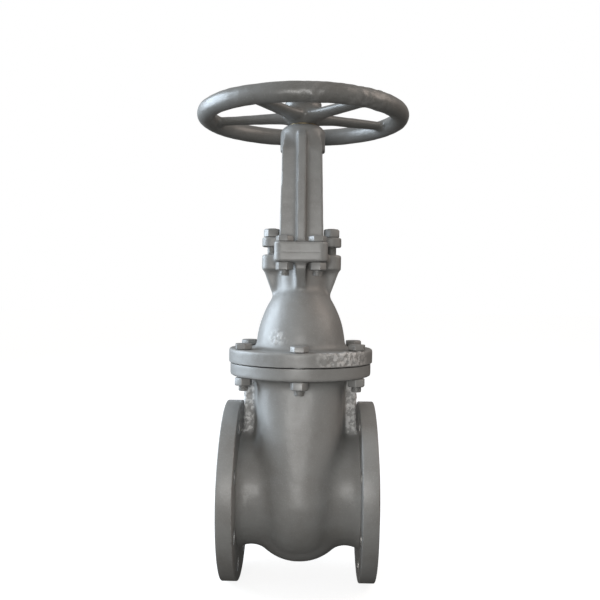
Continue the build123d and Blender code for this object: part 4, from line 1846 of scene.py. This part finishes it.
@dataclass
class Studio:
    """Camera, floor, light and world.

    The light is soft: a wide cool window at the left, a small front lamp and a weak warm one at the right.
    """

    site: Site
    eye: Spot = (0.11315, -0.9183, 0.2474)
    yaw: float = 1.228
    pitch: float = -0.607
    roll: float = -0.591
    lens: float = 43.87
    film: float = 36.0
    floor_half: float = 12.0
    aim: Spot = (0.095, 0.0, 0.2)
    lamps: tuple[Lamp, ...] = (
        Lamp("window", spot=(-1.6, 0.28, 0.75), size=(1.5, 1.5), power=60.0, colour=(0.76, 0.88, 1.0)),
        Lamp("front", spot=(0.02, -1.02, 0.23), size=(0.32, 0.26), power=4.1, colour=(1.0, 0.99, 0.97)),
        Lamp("warm", spot=(1.7, -0.1, 1.3), size=(1.2, 1.2), power=11.0, colour=(1.0, 0.84, 0.74)),
    )
    low_glow: Colour = (0.065, 0.063, 0.06)
    high_glow: Colour = (0.39, 0.38, 0.366)
    glow_slant: float = 0.35
    glow_ends: Point = (-0.6, 0.7)

    def camera(self) -> None:
        """Set up the camera where the photograph was taken from."""
        data = bpy.data.cameras.new("photo_camera")
        data.lens = self.lens
        data.sensor_width = self.film
        data.sensor_height = self.film
        data.sensor_fit = "HORIZONTAL"
        turn = Matrix.Rotation(math.radians(self.yaw), 3, "Z")
        turn = turn @ Matrix.Rotation(math.radians(self.pitch), 3, "X")
        turn = turn @ Matrix.Rotation(math.radians(self.roll), 3, "Y")
        right, ahead, up = turn.transposed()
        axes = Matrix((right, up, -ahead)).transposed().to_4x4()
        camera = bpy.data.objects.new("photo_camera", data)
        camera.matrix_world = Matrix.Translation(self.eye) @ axes
        bpy.context.scene.collection.objects.link(camera)
        bpy.context.scene.camera = camera

    def floor(self) -> None:
        """Lay the floor."""
        mesh = bpy.data.meshes.new("studio_floor")
        corners = [(x * self.floor_half, y * self.floor_half, self.site.floor) for x, y in CORNER_SIGNS]
        mesh.from_pydata(corners, [], [(0, 1, 2, 3)])
        floor = bpy.data.objects.new("studio_floor", mesh)
        bpy.context.scene.collection.objects.link(floor)
        mesh.materials.append(StudioFloor().make())
        floor.visible_diffuse = False
        floor.visible_glossy = False
        floor.visible_shadow = False
        floor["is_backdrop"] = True

    def hang(self, lamp: Lamp) -> None:
        """Hang a lamp that faces the valve.

        Args:
            lamp: the lamp.
        """
        data = bpy.data.lights.new(lamp.name, "AREA")
        data.shape = "RECTANGLE"
        data.size, data.size_y = lamp.size
        data.energy = lamp.power
        data.color = lamp.colour
        ahead = (Vector(self.aim) - Vector(lamp.spot)).normalized()
        turn = ahead.to_track_quat("-Z", "Y").to_matrix().to_4x4()
        hung = bpy.data.objects.new(lamp.name, data)
        hung.matrix_world = Matrix.Translation(lamp.spot) @ turn
        bpy.context.scene.collection.objects.link(hung)

    def world(self) -> None:
        """Fill the surroundings with pale light."""
        world = bpy.data.worlds.new("studio_world")
        bpy.context.scene.world = world
        graph = Graph(world)
        seen = graph.node("ShaderNodeLightPath", output="Is Camera Ray")
        across, _, up = graph.parts_of(graph.node("ShaderNodeTexCoord", output="Generated"))
        height = (up - self.glow_slant * across).ramp(*self.glow_ends)
        tint = graph.mix(height, self.low_glow, self.high_glow)
        dim = graph.node("ShaderNodeBackground", None, {0: tint, 1: 1.0})
        bright = graph.node("ShaderNodeBackground", None, {0: (1.0, 1.0, 1.0, 1.0), 1: 1.0})
        mixed = graph.node("ShaderNodeMixShader", None, {0: seen, 1: dim, 2: bright})
        graph.node("ShaderNodeOutputWorld", None, {0: mixed})
        bpy.context.scene.view_settings.view_transform = "Standard"

    def build(self) -> None:
        """Set up everything round the valve."""
        self.camera()
        self.floor()
        for lamp in self.lamps:
            self.hang(lamp)
        self.world()


class Slot(Enum):
    """The record's material slots."""

    CASTING = "casting_paint"
    WHEEL = "wheel_paint"
    FASTENER = "fastener_paint"
    STEM = "stem_steel"
    NUT = "nut_brass"
    SEAT = "seat_bronze"
    WEDGE = "wedge_iron"
    GASKET = "gasket_sheet"
    PACKING = "packing_graphite"


@dataclass
class Dressing:
    """All finishes, made once, and how pieces and CAD nodes get them."""

    made: dict[Slot, bpy.types.Material] = field(default_factory=dict)

    def build(self) -> None:
        """Make every material."""
        darker = {"colour": (0.18, 0.179, 0.172), "thin": (0.148, 0.145, 0.137)}
        cleaner = {"colour": (0.264, 0.265, 0.259), "thin": (0.221, 0.217, 0.209)}
        bronze = {"colour": (0.62, 0.42, 0.24), "film": (0.35, 0.24, 0.14)}
        iron = {"colour": (0.3, 0.295, 0.285), "film": (0.15, 0.13, 0.11)}
        brass = {"colour": (0.3, 0.245, 0.15), "film": (0.12, 0.115, 0.1), "film_share": 0.9}
        finishes: dict[Slot, CastPaint | TurnedMetal | PressedFibre] = {
            Slot.CASTING: CastPaint(),
            Slot.WHEEL: CastPaint("wheel_paint", **darker, dust_and_edge_highlight=(0.265, 0.265, 0.258), gloss=0.3),
            Slot.FASTENER: CastPaint("fastener_paint", **cleaner, lump=4.0, lump_depth=0.15, gloss=0.29),
            Slot.STEM: TurnedMetal("stem_steel", (0.4, 0.39, 0.37), (0.16, 0.14, 0.11), 0.3),
            Slot.NUT: TurnedMetal("nut_brass", **brass, roughness=0.45),
            Slot.SEAT: TurnedMetal("seat_bronze", **bronze, roughness=0.3, level_axis=True),
            Slot.WEDGE: TurnedMetal("wedge_iron", **iron, roughness=0.42, level_axis=True),
            Slot.GASKET: PressedFibre("gasket_sheet", (0.05, 0.05, 0.052), (0.09, 0.09, 0.09)),
            Slot.PACKING: PressedFibre("packing_graphite", (0.035, 0.035, 0.037), (0.1, 0.1, 0.105), 0.5),
        }
        for slot, finish in finishes.items():
            self.made[slot] = finish.make()

    def dress_piece(self, piece: bpy.types.Object, body: Body, slot: Slot, *stands_for: str) -> None:
        """Give a piece its material and its body, hide the CAD nodes that it stands for, and report it.

        Args:
            piece: the piece.
            body: the body it rides on.
            slot: its material slot.
            stands_for: CAD nodes that it replaces.
        """
        piece.data.materials.clear()
        piece.data.materials.append(self.made[slot])
        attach(piece, body.value)
        if stands_for:
            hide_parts(*stands_for)
        triangles = sum(len(polygon.vertices) - 2 for polygon in piece.data.polygons)
        log.info("%s: %d triangles on %s", piece.name, triangles, body.value)

    def dress_node(self, node: bpy.types.Object, slot: Slot) -> None:
        """Give a CAD node its material.

        Args:
            node: the node's object.
            slot: its material slot.
        """
        if not node.material_slots:
            node.data.materials.append(None)
        for place in node.material_slots:
            place.material = self.made[slot]


@dataclass
class Valve:
    """The whole valve: its sub-assemblies and the fasteners that hold them together."""

    site: Site
    dressing: Dressing
    lock_nut_across: float = 44.0
    lock_nut_height: float = 9.0
    lock_nut_bore: float = 16.6

    def __post_init__(self) -> None:
        """Set up the sub-assemblies."""
        self.body = BodyCasting(self.site)
        self.bonnet = BonnetCasting(self.site)
        self.yoke = YokeCasting(self.site)
        self.gland = GlandPlate(self.site)
        self.wheel = Handwheel(self.site)
        self.stem = Stem(self.site)
        self.fastener = HexFastener(self.site)

    def build_castings(self) -> None:
        """Make the castings and the stem."""
        for maker, body, slot, node in (
            (self.body, Body.VALVE, Slot.CASTING, "body"),
            (self.bonnet, Body.VALVE, Slot.CASTING, "bonnet"),
            (self.yoke, Body.VALVE, Slot.CASTING, "yoke"),
            (self.gland, Body.VALVE, Slot.CASTING, "gland_flange"),
            (self.wheel, Body.WHEEL, Slot.WHEEL, "handwheel"),
            (self.stem, Body.STEM, Slot.STEM, "stem"),
        ):
            self.dressing.dress_piece(maker.build(), body, slot, node)

    def bolt_up(self, name: str, spots: Sequence[Point], seats: Point, turns: Sequence[Point]) -> None:
        """Put a bolt and its nut in each hole of a joint.

        Args:
            name: name of the bolts, which get numbers.
            spots: x and y of the holes.
            seats: heights of the seats under the heads and over the nuts.
            turns: bearings of a corner of each head and nut, in degrees.
        """
        for number, (spot, turn) in enumerate(zip(spots, turns), start=1):
            bolt = self.fastener.bolt(f"{name}_{number}", spot, *seats, turn)
            self.dressing.dress_piece(bolt, Body.VALVE, Slot.FASTENER)

    def build_fasteners(self) -> None:
        """Make all bolts, the gland's studs with their worn nuts, and the wheel's lock nut."""
        gland, wheel = self.gland, self.wheel
        spots = on_circle(self.body.top_bolt_circle, self.body.top_bolt_count)
        seats = (self.bonnet.flange_high, self.body.top_low)
        self.bolt_up("bonnet_bolt", spots, seats, BONNET_BOLT_TURNS)
        spots = [(x * self.yoke.bolt[0], y * self.yoke.bolt[1]) for x, y in CORNER_SIGNS]
        seats = (self.yoke.foot_high, self.bonnet.top_low)
        self.bolt_up("yoke_bolt", spots, seats, YOKE_BOLT_TURNS)

        worn = HexFastener(self.site, corner=2.4, bevel=1.7, crown_drop=0.8)
        for name, side, turn in (("left", -1, 8.0), ("right", 1, 24.0)):
            spot = (side * gland.stud_x, 0.0)
            stud_name, nut_name = f"gland_stud_screw_{name}", f"gland_hex_nut_{name}"
            stud = self.fastener.stud(stud_name, spot, self.bonnet.lug_low, gland.high + gland.stud_stand)
            nut = worn.nut(nut_name, spot, gland.high, gland.high + gland.nut_height, turn)
            self.dressing.dress_piece(stud, Body.VALVE, Slot.FASTENER, f"gland_stud_{name}")
            self.dressing.dress_piece(nut, Body.VALVE, Slot.FASTENER, f"gland_nut_{name}")

        large = HexFastener(self.site, across_flats=self.lock_nut_across)
        low, high = wheel.hub_high, wheel.hub_high + self.lock_nut_height
        lock_nut = large.hexagon(Shape(), low, high, UPRIGHT).mesh("wheel_hex_nut", self.site.stem_x)
        bore = Shape().cylinder(AXIS, self.lock_nut_bore, low - 5, high + 6, 64)
        change(lock_nut, bore.mesh("cutter", self.site.stem_x), Cut.AWAY)
        shade(lock_nut, FASTENER_CREASE)
        self.dressing.dress_piece(lock_nut, Body.WHEEL, Slot.FASTENER, "wheel_lock_nut")


def main() -> None:
    """Load the frame, build every sub-assembly in order and report it."""
    logging.basicConfig(level=logging.INFO, format="%(message)s")
    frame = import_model()
    site = Site.of_frame()
    Studio(site).build()
    dressing = Dressing()
    dressing.build()
    valve = Valve(site, dressing)
    valve.build_castings()
    valve.build_fasteners()
    slots = {row["node"]: Slot(row["material_slot"]) for row in frame["record"]["subparts"]}
    for name, node in frame["nodes"].items():
        dressing.dress_node(node, slots[name])
        log.info("%s: %s", name, slots[name].value)


if __name__ == "__main__":
    main()
